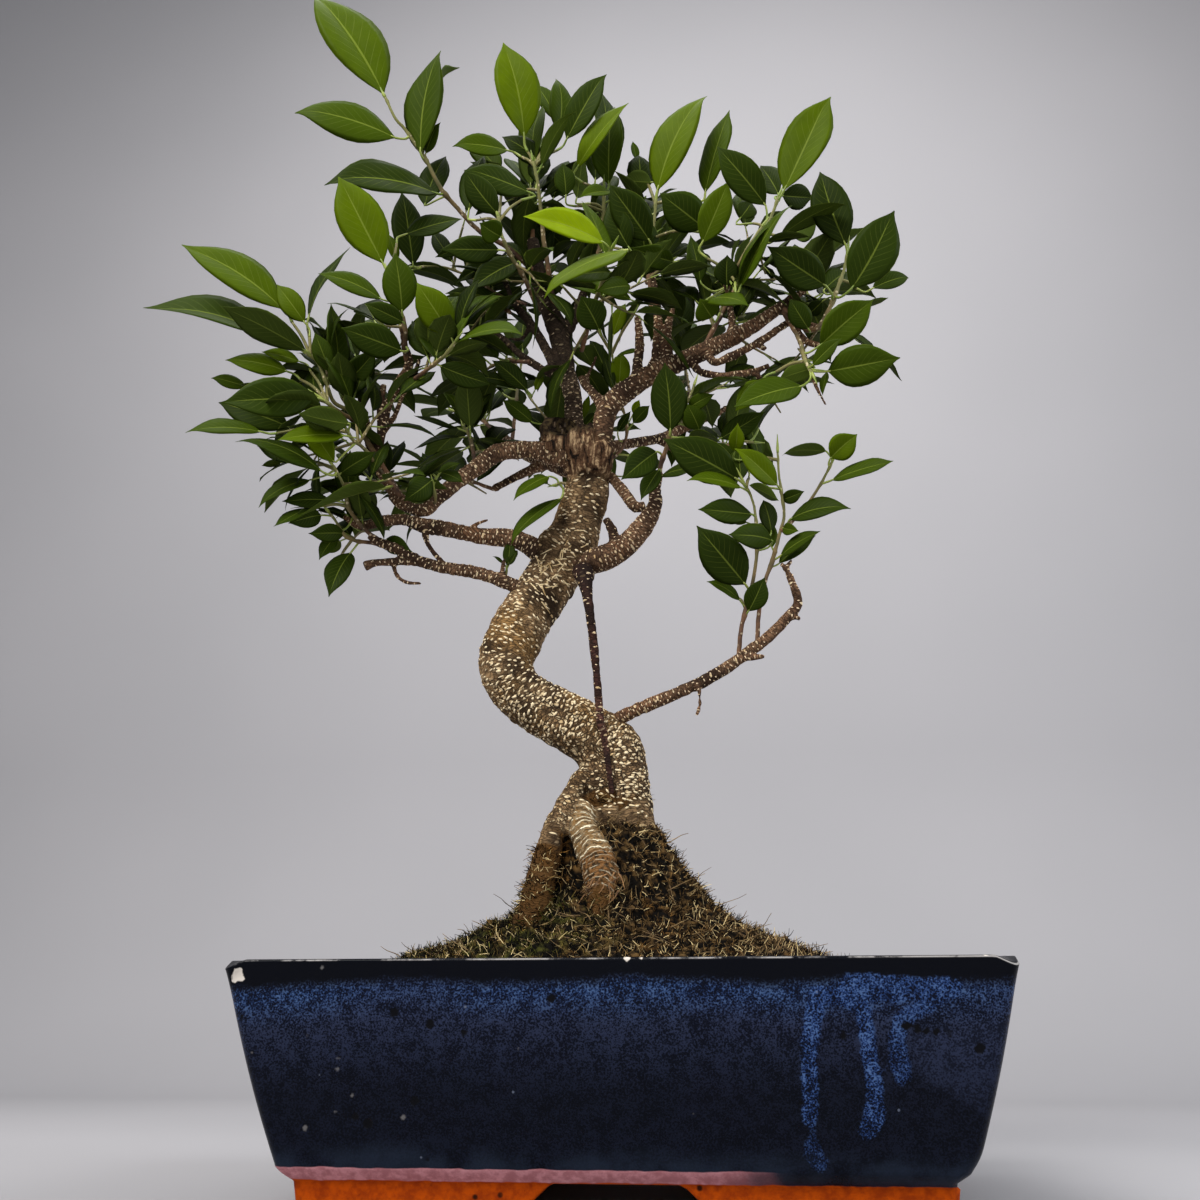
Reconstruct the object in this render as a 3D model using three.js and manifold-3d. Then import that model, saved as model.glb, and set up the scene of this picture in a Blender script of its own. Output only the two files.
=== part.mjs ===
// A small-leaved fig trained as an S-shaped bonsai, in a flared, glazed, rectangular pot.
// Units are millimetres. +X runs along the pot's length, -Y is the front, +Z is up.
// The tree is drawn about the middle of the pot's underside. At the end the whole plant is
// moved sideways, so that the origin lies under the middle of its crown and pot together.

import * as THREE from "three";
import { mergeVertices } from "three/addons/utils/BufferGeometryUtils.js";
import Module from "manifold-3d";

const wasm = await Module();
wasm.setup();

// ---------------------------------------------------------------- driving sizes

const gap = 0.3;                 // air between pieces that touch
const pot = {
  length: 336, depth: 245, height: 104,
  wall: 9, floor: 9, cornerRadius: 5.5, innerRadius: 4, rimEdge: 1,
  underside: 14,                 // height of the pot's underside above the table
  endLean: 20, frontLean: 23.7,  // how far the walls lean in from the rim to their lower edge
  lowerEdge: 20, footInset: 6.5, footLean: 2,
  footWall: 14, cutTop: 55, cutFoot: 86,
  drainRadius: 10, drainX: 70,
};
const soil = { top: 96 };
const screen = { side: 34, bar: 1.6, bars: 4, thick: 1.4 };
const wire = { radius: 0.7, spread: 7.5, foot: 15, bend: 1.5 };
const mound = {
  x: -9, depthScale: 0.8, sides: 16, lump: 2.2,
  profile: [[134, 0], [112, 13], [84, 23], [62, 36], [47, 47], [34, 65], [20, 79], [0, 84]],
};
const leaf = {
  halfThick: 0.6, bow: 0.08,     // a blade's middle is this share of its length higher than its ends
  stalk: 1.8, setBack: 3,
  widest: 0.45, ratio: 0.47,     // where a blade is widest, and its width, as shares of its length
};
const ruled = { lift: 6, count: 8, sizes: [44, 48, 52], radii: [2.2, 1.6, 1.0] };
const twigSides = 4;
const trunkSides = 10;
const rootSides = 5;
const limbSides = 6;
const eye = new THREE.Vector3(63, -682, 74);   // the point in front that leaf turns are counted from

// ---------------------------------------------------------------- colours

const look = {
  pot: [0x1f2a4a, 0.25], mesh: [0x20221f, 0.6], wire: [0x9a9690, 0.35],
  soil: [0x2c2119, 0.95], moss: [0x4a4a1c, 0.95], bark: [0x6f5d4a, 0.85], leaf: [0x3f6b20, 0.4],
};

// ---------------------------------------------------------------- solids

function toSolid(geometry) {
  const plain = geometry.clone();
  plain.deleteAttribute("normal");
  plain.deleteAttribute("uv");
  const merged = mergeVertices(plain, 1e-4);
  const index = Uint32Array.from(merged.index.array);
  const corners = Float32Array.from(merged.attributes.position.array);
  const keep = [];
  for (let i = 0; i < index.length; i += 3) {
    const [a, b, c] = [index[i], index[i + 1], index[i + 2]];
    if (a !== b && b !== c && a !== c) keep.push(a, b, c);
  }
  return new wasm.Manifold(new wasm.Mesh({
    numProp: 3, vertProperties: corners, triVerts: Uint32Array.from(keep),
  }));
}

function toGeometry(solid) {
  const mesh = solid.getMesh();
  const geometry = new THREE.BufferGeometry();
  const corners = Float32Array.from(mesh.vertProperties);
  geometry.setAttribute("position", new THREE.BufferAttribute(corners, 3));
  geometry.setIndex(new THREE.BufferAttribute(Uint32Array.from(mesh.triVerts), 1));
  geometry.computeVertexNormals();
  return geometry;
}

// Turns a closed surface's faces round if they point inwards.
function outward(geometry) {
  if (toSolid(geometry).volume() > 0) return geometry;
  const index = Array.from(geometry.index.array);
  for (let i = 0; i < index.length; i += 3) [index[i + 1], index[i + 2]] = [index[i + 2], index[i + 1]];
  return geometry.setIndex(index);
}

function joined(solids) {
  return solids.reduce((whole, next) => whole.add(next));
}

function largestBody(solid) {
  const bodies = solid.decompose();
  return bodies.reduce((best, next) => (next.volume() > best.volume() ? next : best));
}

function boxesMeet(a, b) {
  const p = a.boundingBox();
  const q = b.boundingBox();
  return [0, 1, 2].every((k) => p.min[k] < q.max[k] && q.min[k] < p.max[k]);
}

function block(sizeX, sizeY, sizeZ, x, y, z) {
  return toSolid(new THREE.BoxGeometry(sizeX, sizeY, sizeZ).translate(x, y, z));
}

// A block with round upright corners whose outline changes from level to level.
function roundedLoft(levels, radius) {
  const perCorner = 3;
  const rings = levels.map(([z, halfX, halfY]) => {
    const ring = [];
    for (let corner = 0; corner < 4; corner++) {
      for (let k = 0; k <= perCorner; k++) {
        const angle = (corner + k / perCorner) * Math.PI / 2;
        const signX = corner === 0 || corner === 3 ? 1 : -1;
        const signY = corner < 2 ? 1 : -1;
        ring.push([
          signX * (halfX - radius) + radius * Math.cos(angle),
          signY * (halfY - radius) + radius * Math.sin(angle), z,
        ]);
      }
    }
    return ring;
  });
  const count = rings[0].length;
  const points = rings.flat();
  const faces = [];
  for (let i = 0; i < rings.length - 1; i++) {
    for (let k = 0; k < count; k++) {
      const next = (k + 1) % count;
      const [a, b] = [i * count + k, i * count + next];
      faces.push(a, b, b + count, a, b + count, a + count);
    }
  }
  const last = (rings.length - 1) * count;
  for (let k = 1; k < count - 1; k++) {
    faces.push(0, k + 1, k, last, last + k, last + k + 1);
  }
  const geometry = new THREE.BufferGeometry();
  geometry.setAttribute("position", new THREE.Float32BufferAttribute(points.flat(), 3));
  geometry.setIndex(faces);
  return toSolid(geometry);
}

function smoothCurve(route) {
  const points = route.map(([x, y, z]) => new THREE.Vector3(x, y, z));
  return new THREE.CatmullRomCurve3(points, false, "centripetal");
}

// A round stem along a smooth route of [x, y, z, radius] points: a capped cylinder bent to follow it.
function stem(route, sides, steps, swell = 0) {
  const curve = smoothCurve(route);
  const frames = curve.computeFrenetFrames(steps, false);
  const radii = routeRadii(route, curve, steps);
  const geometry = new THREE.CylinderGeometry(1, 1, 1, sides, steps);
  const corner = geometry.attributes.position;
  for (let i = 0; i < corner.count; i++) {
    const k = Math.round((corner.getY(i) + 0.5) * steps);
    const end = k === 0 ? -swell : k === steps ? swell : 0;
    const reach = radii[k] + swell;
    const place = curve.getPointAt(k / steps)
      .addScaledVector(frames.binormals[k], reach * corner.getX(i))
      .addScaledVector(frames.normals[k], reach * corner.getZ(i))
      .addScaledVector(frames.tangents[k], end);
    corner.setXYZ(i, place.x, place.y, place.z);
  }
  return toSolid(geometry);
}

// The radius at each step, read between the route's own points by distance along the curve.
function routeRadii(route, curve, steps) {
  const parts = 200;
  const lengths = curve.getLengths(parts);
  const marks = route.map((_, i) => lengths[Math.round(parts * i / (route.length - 1))] / lengths[parts]);
  return Array.from({ length: steps + 1 }, (_, k) => {
    const share = k / steps;
    let i = 1;
    while (i < marks.length - 1 && marks[i] < share) i++;
    const part = THREE.MathUtils.clamp((share - marks[i - 1]) / (marks[i] - marks[i - 1]), 0, 1);
    return THREE.MathUtils.lerp(route[i - 1][3], route[i][3], part);
  });
}

// ---------------------------------------------------------------- leaves

// A leaf: a tapering stalk from the twig to the foot of the blade, then a blade with a thick middle
// and a sharp edge, widest a little below its half and closed to a point.
function leafSolid(bones, { base, tip, width, face }, swell) {
  const axis = tip.clone().sub(base);
  const length = axis.length();
  axis.normalize();
  const up = face.clone().addScaledVector(axis, -face.dot(axis)).normalize();
  const side = new THREE.Vector3().crossVectors(up, axis);
  const at = (along, across, lift) => base.clone().addScaledVector(axis, along)
    .addScaledVector(side, across).addScaledVector(up, lift);
  const root = stalkRoot(bones, base);
  const foot = Math.max(0, root.clone().sub(base).dot(axis) + 1);
  const half = width / 2 + swell;
  const neck = leaf.stalk / 2 + swell;
  const wide = Math.max(leaf.widest * length, foot + 2);
  const bow = leaf.bow * length;
  const thick = leaf.halfThick + swell;
  const corners = {
    root, footTop: at(foot, 0, thick), footLeft: at(foot, -neck, 0), footRight: at(foot, neck, 0),
    footUnder: at(foot, 0, -thick), top: at(wide, 0, bow + thick), under: at(wide, 0, bow - thick),
    left: at(wide, -half, bow), right: at(wide, half, bow), tip: at(length + swell, 0, 0),
  };
  const faces = [
    "root footTop footRight", "root footLeft footTop",
    "root footUnder footLeft", "root footRight footUnder",
    "footLeft top footTop", "footLeft left top", "footTop top footRight", "footRight top right",
    "top left tip", "top tip right",
    "footLeft footUnder under", "footLeft under left", "footUnder footRight under", "footRight right under",
    "under tip left", "under right tip",
  ].flatMap((names) => names.split(" ").map((name) => Object.keys(corners).indexOf(name)));
  const geometry = new THREE.BufferGeometry();
  const places = Object.values(corners).flatMap((corner) => corner.toArray());
  geometry.setAttribute("position", new THREE.Float32BufferAttribute(places, 3));
  geometry.setIndex(faces);
  return toSolid(geometry);
}

// Where a stalk leaves the twig: a little below the twig's nearest point, on its middle line.
function stalkRoot(bones, base) {
  const near = new THREE.Vector3();
  let best = null;
  for (let i = 1; i < bones.length; i++) {
    new THREE.Line3(bones[i - 1], bones[i]).closestPointToPoint(base, true, near);
    const reach = near.distanceTo(base);
    if (best === null || reach < best.reach) best = { reach, place: near.clone(), below: bones[i - 1] };
  }
  const back = best.below.clone().sub(best.place);
  return best.place.add(back.clampLength(0, leaf.setBack));
}

// Which way a leaf's upper side faces, from its turn in degrees: 0 faces the eye, 90 faces up.
function facing(base, tip, turn) {
  const axis = tip.clone().sub(base).normalize();
  const view = eye.clone().sub(base).normalize();
  const front = view.addScaledVector(axis, -view.dot(axis)).normalize();
  const across = new THREE.Vector3().crossVectors(axis, front);
  if (across.z < 0) across.negate();
  const angle = THREE.MathUtils.degToRad(turn);
  return front.multiplyScalar(Math.cos(angle)).addScaledVector(across, Math.sin(angle));
}

// The leaves of a spray that grows by rule: they spiral round its twig and spread outwards.
function spiralLeaves(spray) {
  const [start, end] = [new THREE.Vector3(...spray.from), new THREE.Vector3(...spray.to)];
  const along = end.clone().sub(start).normalize();
  const sideA = new THREE.Vector3().crossVectors(along, new THREE.Vector3(0.3, 0.2, 1)).normalize();
  const sideB = new THREE.Vector3().crossVectors(along, sideA);
  const leaves = [];
  for (let i = 0; i < ruled.count; i++) {
    const share = i / (ruled.count - 1);
    const wobble = Math.sin(12.9 * i + 7.3 * spray.seed);
    const angle = THREE.MathUtils.degToRad(137.5 * i + 50 * spray.seed);
    const place = 0.3 + 0.7 * share;
    const root = start.clone().lerp(end, place);
    root.z += ruled.lift * 4 * place * (1 - place);
    const out = along.clone().multiplyScalar(0.5 + 0.9 * share * share)
      .addScaledVector(sideA, Math.cos(angle) * (1 - 0.6 * share))
      .addScaledVector(sideB, Math.sin(angle) * (1 - 0.6 * share));
    out.z += 0.12 + 0.1 * wobble;
    out.normalize();
    const length = spray.size * (0.88 + 0.16 * wobble);
    const base = root.clone().addScaledVector(out, 0.2 * length);
    const tip = base.clone().addScaledVector(out, length);
    tip.z -= 0.14 * length;
    const face = new THREE.Vector3(0.35 * out.x, 0.35 * out.y - 0.1, 1);
    leaves.push({ base, tip, width: leaf.ratio * length, face });
  }
  return leaves;
}

function pickedLeaves(rows) {
  return rows.map(([bx, by, bz, tx, ty, tz, width, turn]) => {
    const base = new THREE.Vector3(bx, by, bz);
    const tip = new THREE.Vector3(tx, ty, tz);
    return { base, tip, width, face: facing(base, tip, turn) };
  });
}

function twigRoute(spray) {
  if (spray.twig) {
    const last = spray.twig.length - 1;
    return spray.twig.map((p, i) => [...p, THREE.MathUtils.lerp(spray.thick, spray.thin, i / last)]);
  }
  const middle = spray.from.map((v, k) => (v + spray.to[k]) / 2);
  middle[2] += ruled.lift;
  return [spray.from, middle, spray.to].map((point, i) => [...point, ruled.radii[i]]);
}

function growSpray(spray, swell) {
  const route = twigRoute(spray);
  const leaves = spray.leaves ? pickedLeaves(spray.leaves) : spiralLeaves(spray);
  const steps = Math.min(route.length - 1, 6);
  const bones = smoothCurve(route).getSpacedPoints(steps);
  const twig = stem(route, twigSides, steps, swell);
  return joined([twig, ...leaves.map((one) => leafSolid(bones, one, swell))]);
}

// ---------------------------------------------------------------- the plant's pieces

const plant = new THREE.Group();
const settled = [];              // swollen copies of the woody and leafy pieces made so far

function addMesh(name, solid, [colour, roughness], metalness = 0) {
  const mesh = new THREE.Mesh(
    toGeometry(solid),
    new THREE.MeshStandardMaterial({ color: colour, roughness, metalness }),
  );
  mesh.name = name;
  plant.add(mesh);
}

// Adds a piece with a little air kept all round the pieces that are there already.
function settle(name, solid, swollen, finish) {
  let rest = solid;
  for (const other of settled) {
    if (boxesMeet(rest, other)) rest = rest.subtract(other);
  }
  addMesh(name, largestBody(rest), finish);
  settled.push(swollen.add(solid));
}

// ---- pot

// A level of the pot's flared wall: its height and half sizes there, drawn in by inset.
function potLevel(z, inset) {
  const share = (pot.height - z) / (pot.height - pot.lowerEdge);
  return [
    z, pot.length / 2 - pot.endLean * share - inset, pot.depth / 2 - pot.frontLean * share - inset,
  ];
}

function footLevel(z, inset) {
  return [z, ...potLevel(pot.lowerEdge, pot.footInset + inset).slice(1)];
}

function makePot() {
  const outside = roundedLoft([
    footLevel(pot.underside, 0), potLevel(pot.lowerEdge, 0),
    potLevel(pot.height - pot.rimEdge, 0), potLevel(pot.height, pot.rimEdge),
  ], pot.cornerRadius);
  const hollow = roundedLoft([
    potLevel(pot.underside + pot.floor, pot.wall), potLevel(pot.height + 1, pot.wall),
  ], pot.innerRadius);
  const foot = roundedLoft([footLevel(0, pot.footLean), footLevel(pot.underside + 0.5, 0)], pot.innerRadius)
    .subtract(roundedLoft([-1, pot.underside].map((z) => footLevel(z, pot.footWall)), pot.innerRadius));
  const drain = new THREE.CylinderGeometry(pot.drainRadius, pot.drainRadius, 4 * pot.floor, 20)
    .rotateX(Math.PI / 2).translate(0, 0, pot.underside);
  return outside.subtract(hollow).add(foot)
    .subtract(footCut(false)).subtract(footCut(true))
    .subtract(toSolid(drain.clone().translate(-pot.drainX, 0, 0)))
    .subtract(toSolid(drain.clone().translate(pot.drainX, 0, 0)));
}

// A trapezoid gap through the foot, wider at the table, right across the pot.
function footCut(turned) {
  const outline = new THREE.Shape([
    new THREE.Vector2(-pot.cutFoot / 2, -1), new THREE.Vector2(pot.cutFoot / 2, -1),
    new THREE.Vector2(pot.cutTop / 2, pot.underside), new THREE.Vector2(-pot.cutTop / 2, pot.underside),
  ]);
  const cut = new THREE.ExtrudeGeometry(outline, { depth: pot.length, bevelEnabled: false })
    .translate(0, 0, -pot.length / 2).rotateX(Math.PI / 2);
  return toSolid(turned ? cut.rotateZ(Math.PI / 2) : cut);
}

// ---- drainage screens, held down by a bent wire each

function makeScreen(x) {
  const z = pot.underside + pot.floor + gap + screen.thick / 2;
  const pitch = (screen.side - screen.bar) / (screen.bars - 1);
  const bars = [];
  for (let i = 0; i < screen.bars; i++) {
    const place = -screen.side / 2 + screen.bar / 2 + i * pitch;
    bars.push(block(screen.bar, screen.side, screen.thick, x + place, 0, z));
    bars.push(block(screen.side, screen.bar, screen.thick, x, place, z));
  }
  return joined(bars);
}

function makeScreenWire(x) {
  const top = pot.underside + pot.floor + gap + screen.thick + gap + wire.radius;
  const under = pot.underside - gap - wire.radius;
  const half = [
    [wire.foot, under], [wire.spread + wire.bend, under], [wire.spread, under + wire.bend],
    [wire.spread, top - wire.bend], [wire.spread - wire.bend, top],
  ];
  const across = [...half.map(([u, z]) => [-u, z]), ...half.reverse()];
  return stem(across.map(([u, z]) => [x + u, 0, z, wire.radius]), 5, 22);
}

// ---- trunk, roots and branches: routes of [x, y, z, radius]

const trunkRoute = [
  [-9, 0, 62, 40], [-9, 0, 100, 34], [-9, 0, 136, 27], [-9, 0, 164, 22.5], [-9, 0, 191, 18.5],
  [-11, -2, 212, 17.5], [-16, -3, 220, 17], [-30, -5, 230, 15.5], [-44, -6, 237, 14.5],
  [-58, -7, 246, 14], [-67, -8, 259, 14.5], [-68, -7, 270, 15], [-65, -5, 279, 15.5],
  [-62, -3, 289, 15.3], [-55, 0, 301, 14.8], [-45, 3, 319, 14.8], [-40, 4, 330, 16], [-34, 4, 340, 15.5],
  [-30, 4, 355, 13.5], [-26, 3, 367, 13], [-26, 2, 376, 12.6], [-25, 1, 385, 13], [-26, 0, 396, 14.5],
  [-28, 0, 406, 13],
];
const rootRoutes = [
  [[-21, -7, 206, 5.5], [-31, -17, 193, 5], [-38, -25, 180, 5.6], [-43, -32, 162, 7.6],
    [-46, -38, 147, 9], [-52, -43, 120, 9.5], [-56, -46, 84, 7]],
  [[-20, -6, 190, 5.5], [-25.5, -19, 180, 7], [-22, -26, 168, 8], [-14.5, -33, 153, 9],
    [-12.5, -39, 142, 8], [-14, -50, 118, 5], [-14, -54, 88, 4]],
  [[0, 10, 176, 8], [14, 22, 150, 9], [28, 36, 124, 9], [42, 48, 98, 8], [50, 56, 80, 5]],
  [[-20, 12, 178, 8], [-32, 30, 146, 9], [-44, 48, 118, 9], [-52, 62, 98, 7], [-56, 68, 82, 5]],
  [[2, -4, 172, 7], [14, -10, 148, 8], [30, -18, 120, 8], [46, -26, 100, 7], [56, -32, 84, 5]],
];
const aerialRootRoute = [
  [-26, -10, 316, 5], [-24, -17, 308, 3.6], [-22, -21, 298, 2.6], [-20, -23, 284, 2.3],
  [-18, -24, 267, 2.2], [-16, -24, 245, 2.1], [-15, -22, 229, 2.0], [-14, -17, 219, 1.9],
];
const branchRoutes = {
  leader: [[[-27, 2, 398, 11], [-29, 3, 412, 8.5], [-33, 5, 430, 7.2], [-35, 6, 447, 6.5], [-39, 6, 463, 6],
    [-45, 4, 480, 6.2], [-52, 2, 498, 5.5], [-56, -2, 517, 4.5], [-59, -4, 536, 3.4]],
  [[-34, 6, 446, 4.6], [-46, 4, 444, 4.2], [-58, 0, 452, 3.8], [-66, -2, 468, 3.2], [-72, -4, 488, 2.4]],
  [[-42, 5, 470, 4.2], [-34, 8, 488, 3.6], [-28, 10, 508, 3.0], [-24, 8, 528, 2.4]]],
  branch_right_main: [
    [[-23, -2, 392, 9], [-18, -4, 402, 8], [-15, -7, 413, 7], [-2, -11, 426, 6.8], [16, -15, 434, 6.2],
      [36, -19, 440, 5.4], [57, -23, 447, 4.7], [74, -26, 455, 3.9], [91, -29, 465, 3.0]],
    [[4, -12, 426, 3.8], [6, -13, 443, 3.0], [7, -13, 460, 2.6], [6, -14, 472, 2.2]],
    [[12, -14, 430, 4.2], [17, -14, 446, 3.0], [18, -14, 466, 2.6], [17, -14, 484, 2.2], [15, -14, 498, 1.8]],
    [[24, -16, 436, 4.2], [23, -16, 451, 3.2], [24, -15, 464, 2.4], [27, -14, 476, 1.5]],
    [[63, -23, 447, 2.6], [61, -24, 457, 2.2], [60, -26, 469, 2.2], [59, -28, 478, 1.9]],
    [[38, -20, 436, 2.6], [52, -22, 430, 2.6], [66, -26, 429, 2.4], [84, -30, 430, 2.2]],
  ],
  branch_upper_left: [
    [[-32, -2, 391, 8], [-40, -4, 390, 6.6], [-58, -7, 393, 5.4], [-75, -10, 391, 5.2],
      [-88, -12, 381, 4.9], [-100, -13, 371, 4.6], [-109, -14, 363, 4.2], [-116, -15, 355, 4.0],
      [-129, -14, 359, 3.4], [-136, -14, 366, 3]],
    [[-124, -15, 356, 2.8], [-140, -17, 375, 2.8], [-148, -20, 393, 3], [-151, -22, 408, 2.4],
      [-156, -22, 421, 1.8]],
    [[-145, -19, 386, 2.6], [-140, -24, 405, 2.4], [-135, -28, 422, 2.6], [-128, -34, 429, 3],
      [-123, -38, 435, 2.6], [-125, -42, 446, 1.9], [-127, -48, 460, 1.4]],
  ],
  branch_left_mid: [[[-52, -2, 332, 6.4], [-63, -5, 338, 5.2], [-86, -10, 340, 4.7], [-106, -14, 344, 4.4],
    [-116, -16, 345, 4.2], [-127, -17, 349, 3.6], [-141, -18, 348, 3.2], [-151, -20, 345, 2.7],
    [-160, -22, 351, 2.2]]],
  branch_left_low: [
    [[-55, -4, 306, 5.0], [-67, -8, 311, 3.8], [-85, -12, 317, 3.6], [-105, -15, 320, 3.3],
      [-119, -16, 324, 3.0], [-132, -17, 324, 2.4], [-143, -18, 323, 2.2], [-148, -19, 321, 2.4]],
    [[-112, -16, 321, 2.6], [-128, -18, 330, 3.0], [-140, -19, 335, 2.8], [-146, -20, 339, 2.2]],
  ],
  branch_right_mid: [[[-30, -2, 325, 8.5], [-18, -6, 324, 7.4], [-2, -11, 330, 6.6], [9, -14, 341, 5.6],
    [15, -15, 352, 4.4], [15, -15, 361, 3.2], [18, -16, 371, 2.4]]],
  branch_right_low: [[[-18, -6, 225, 4.5], [-5, -10, 233, 3.6], [10, -12, 239, 3.5], [27, -14, 245, 3.4],
    [45, -16, 253, 3.2], [61, -18, 263, 3.0], [72, -20, 270, 3.2], [83, -22, 280, 3.0], [90, -24, 288, 2.8],
    [88, -26, 298, 2.2], [85, -27, 306, 1.7]]],
  branch_back_left: [[[-28, 6, 384, 7], [-38, 24, 394, 6], [-54, 44, 408, 5], [-76, 64, 426, 4.2],
    [-96, 86, 450, 3]],
  [[-54, 44, 408, 3.4], [-72, 50, 404, 3], [-92, 58, 398, 2.4]]],
  branch_back_right: [[[-22, 6, 396, 7], [-8, 24, 408, 6], [12, 44, 420, 5], [34, 66, 440, 4],
    [56, 88, 460, 3]],
  [[12, 44, 420, 3.4], [28, 48, 412, 3], [46, 56, 410, 2.4]]],
};

// ---- sprays whose twigs and leaves are placed one by one.
// A leaf is its blade's base and tip, its width, and how far it is turned from facing the eye.

const pickedSprays = [
  { name: "spray_top_left", thick: 2.6, thin: 1.2,
    twig: [[-58, -4, 514], [-74, -16, 525], [-87, -24, 530], [-101, -34, 543], [-108, -42, 550],
      [-116, -50, 565], [-127, -58, 581], [-132, -62, 586], [-138, -66, 599]],
    leaves: [
      [-139, -66, 601, -183, -78, 670, 39, 35], [-132, -60, 574, -186, -82, 582, 27, 40],
      [-118, -54, 567, -105, -70, 627, 30, 45], [-118, -48, 569, -106, -30, 649, 34, 70],
      [-116, -50, 569, -106, -60, 583, 10, 40], [-119, -36, 543, -109, -30, 583, 20, 35],
      [-110, -44, 545, -163, -84, 530, 32, 55]] },
  { name: "spray_upper_left", thick: 2.4, thin: 1.1,
    twig: [[-124, -40, 437], [-123, -48, 442], [-121, -56, 447], [-122, -61, 455], [-125, -64, 465],
      [-129, -66, 477]],
    leaves: [
      [-133, -66, 485, -156, -84, 532, 28, 10], [-121, -64, 454, -123, -78, 483, 20, 0],
      [-133, -64, 463, -165, -80, 472, 17, 50], [-121, -60, 450, -140, -72, 456, 12, 0],
      [-122, -56, 434, -151, -76, 439, 19, 0], [-126, -50, 514, -95, -40, 529, 17, 45]] },
  { name: "spray_left_bright", thick: 2.0, thin: 1.0,
    twig: [[-118, -42, 424], [-102, -56, 426], [-95, -62, 428], [-89, -66, 433]],
    leaves: [
      [-93, -64, 438, -109, -80, 462, 20, 0], [-90, -62, 434, -50, -84, 426, 22, 70],
      [-92, -62, 431, -68, -56, 469, 20, 80], [-102, -56, 427, -118, -40, 456, 17, 50],
      [-101, -54, 425, -74, -40, 419, 14, 0]] },
  { name: "spray_left_tip", thick: 2.8, thin: 1.2,
    twig: [[-130, -8, 363], [-138, -16, 377], [-150, -28, 397], [-157, -36, 409], [-164, -42, 412],
      [-168, -48, 423], [-173, -52, 434], [-178, -56, 437]],
    leaves: [
      [-191, -62, 462, -245, -84, 493, 31, 45], [-200, -56, 448, -267, -76, 458, 32, 60],
      [-177, -58, 437, -216, -86, 451, 24, 135], [-179, -58, 455, -195, -64, 477, 14, 0],
      [-180, -50, 463, -161, -40, 515, 24, 80], [-165, -50, 427, -172, -60, 447, 12, 0],
      [-162, -44, 430, -168, -50, 471, 20, 45]] },
  { name: "spray_left_mid", thick: 2.2, thin: 1.1,
    twig: [[-151, -34, 402], [-157, -44, 403], [-161, -52, 404], [-166, -56, 407]],
    leaves: [
      [-169, -60, 406, -211, -84, 394, 24, 15], [-190, -50, 429, -222, -62, 432, 16, 40],
      [-184, -48, 436, -203, -58, 438, 10, 40], [-215, -46, 423, -232, -56, 425, 9, 30],
      [-161, -36, 427, -141, -44, 443, 15, 0], [-178, -34, 433, -198, -26, 433, 15, 0]] },
  { name: "spray_left_low", thick: 2.2, thin: 1.0,
    twig: [[-129, -20, 362], [-138, -32, 373], [-145, -44, 382], [-149, -52, 384], [-151, -58, 388]],
    leaves: [
      [-151, -58, 383, -181, -78, 373, 18, 55], [-148, -60, 389, -170, -80, 387, 15, 180],
      [-158, -52, 370, -174, -58, 394, 14, 0], [-202, -50, 392, -239, -66, 387, 19, 60],
      [-190, -40, 399, -229, -50, 412, 20, 15], [-157, -44, 367, -136, -50, 376, 13, 0]] },
  { name: "spray_left_long", thick: 2.2, thin: 1.0,
    twig: [[-137, -14, 333], [-147, -24, 341], [-154, -34, 350], [-155, -40, 359], [-156, -46, 363],
      [-160, -50, 370]],
    leaves: [
      [-163, -56, 363, -205, -76, 376, 23, 65], [-174, -44, 364, -197, -58, 344, 16, 60],
      [-163, -40, 353, -186, -52, 348, 13, 40], [-133, -36, 361, -169, -70, 331, 24, 105],
      [-184, -34, 380, -208, -40, 388, 12, 20], [-174, -44, 347, -188, -56, 332, 11, 55],
      [-197, -30, 382, -207, -34, 379, 5, 150]] },
  { name: "spray_left_hanging", thick: 2.0, thin: 1.0,
    twig: [[-142, -10, 337], [-148, -18, 336], [-152, -26, 334], [-157, -30, 336], [-162, -32, 344],
      [-165, -36, 348]],
    leaves: [
      [-154, -26, 327, -160, -40, 297, 16, 25], [-157, -30, 337, -172, -44, 332, 11, 0],
      [-169, -36, 346, -182, -50, 336, 12, 0], [-163, -26, 337, -169, -34, 321, 9, 20],
      [-161, -24, 335, -172, -16, 331, 8, 180], [-154, -28, 346, -153, -16, 370, 13, 15],
      [-139, -14, 338, -121, -20, 328, 11, 0]] },
  { name: "spray_top_centre", thick: 2.8, thin: 1.2,
    twig: [[-46, 0, 492], [-47, -16, 507], [-49, -24, 525], [-50, -30, 542], [-51, -36, 555],
      [-53, -40, 566]],
    leaves: [
      [-58, -44, 580, -70, -58, 638, 28, 15], [-68, -42, 573, -98, -56, 570, 16, 40],
      [-48, -30, 569, -74, -34, 590, 16, 25], [-48, -40, 562, -27, -56, 587, 17, 125],
      [-41, -24, 596, -41, -30, 634, 18, 30], [-34, -34, 584, -9, -50, 617, 21, 30],
      [-43, -16, 612, -57, -18, 640, 15, 35], [-53, -32, 572, -49, -26, 616, 21, 55]] },
  { name: "spray_centre_left", thick: 2.4, thin: 1.1,
    twig: [[-54, -8, 484], [-59, -30, 493], [-65, -42, 501], [-68, -48, 507], [-71, -52, 521]],
    leaves: [
      [-69, -50, 508, -79, -62, 510, 15, 0], [-71, -52, 522, -88, -66, 543, 17, 0],
      [-55, -40, 544, -88, -64, 546, 20, 40], [-90, -44, 531, -83, -40, 573, 20, 45],
      [-72, -40, 506, -101, -60, 496, 17, 10], [-62, -30, 504, -88, -44, 478, 18, 30],
      [-75, -30, 567, -96, -24, 595, 17, 30]] },
  { name: "spray_centre_bright", thick: 2.4, thin: 1.1,
    twig: [[-28, -6, 456], [-15, -44, 466], [-8, -60, 472], [-6, -70, 476], [-2, -76, 478]],
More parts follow.
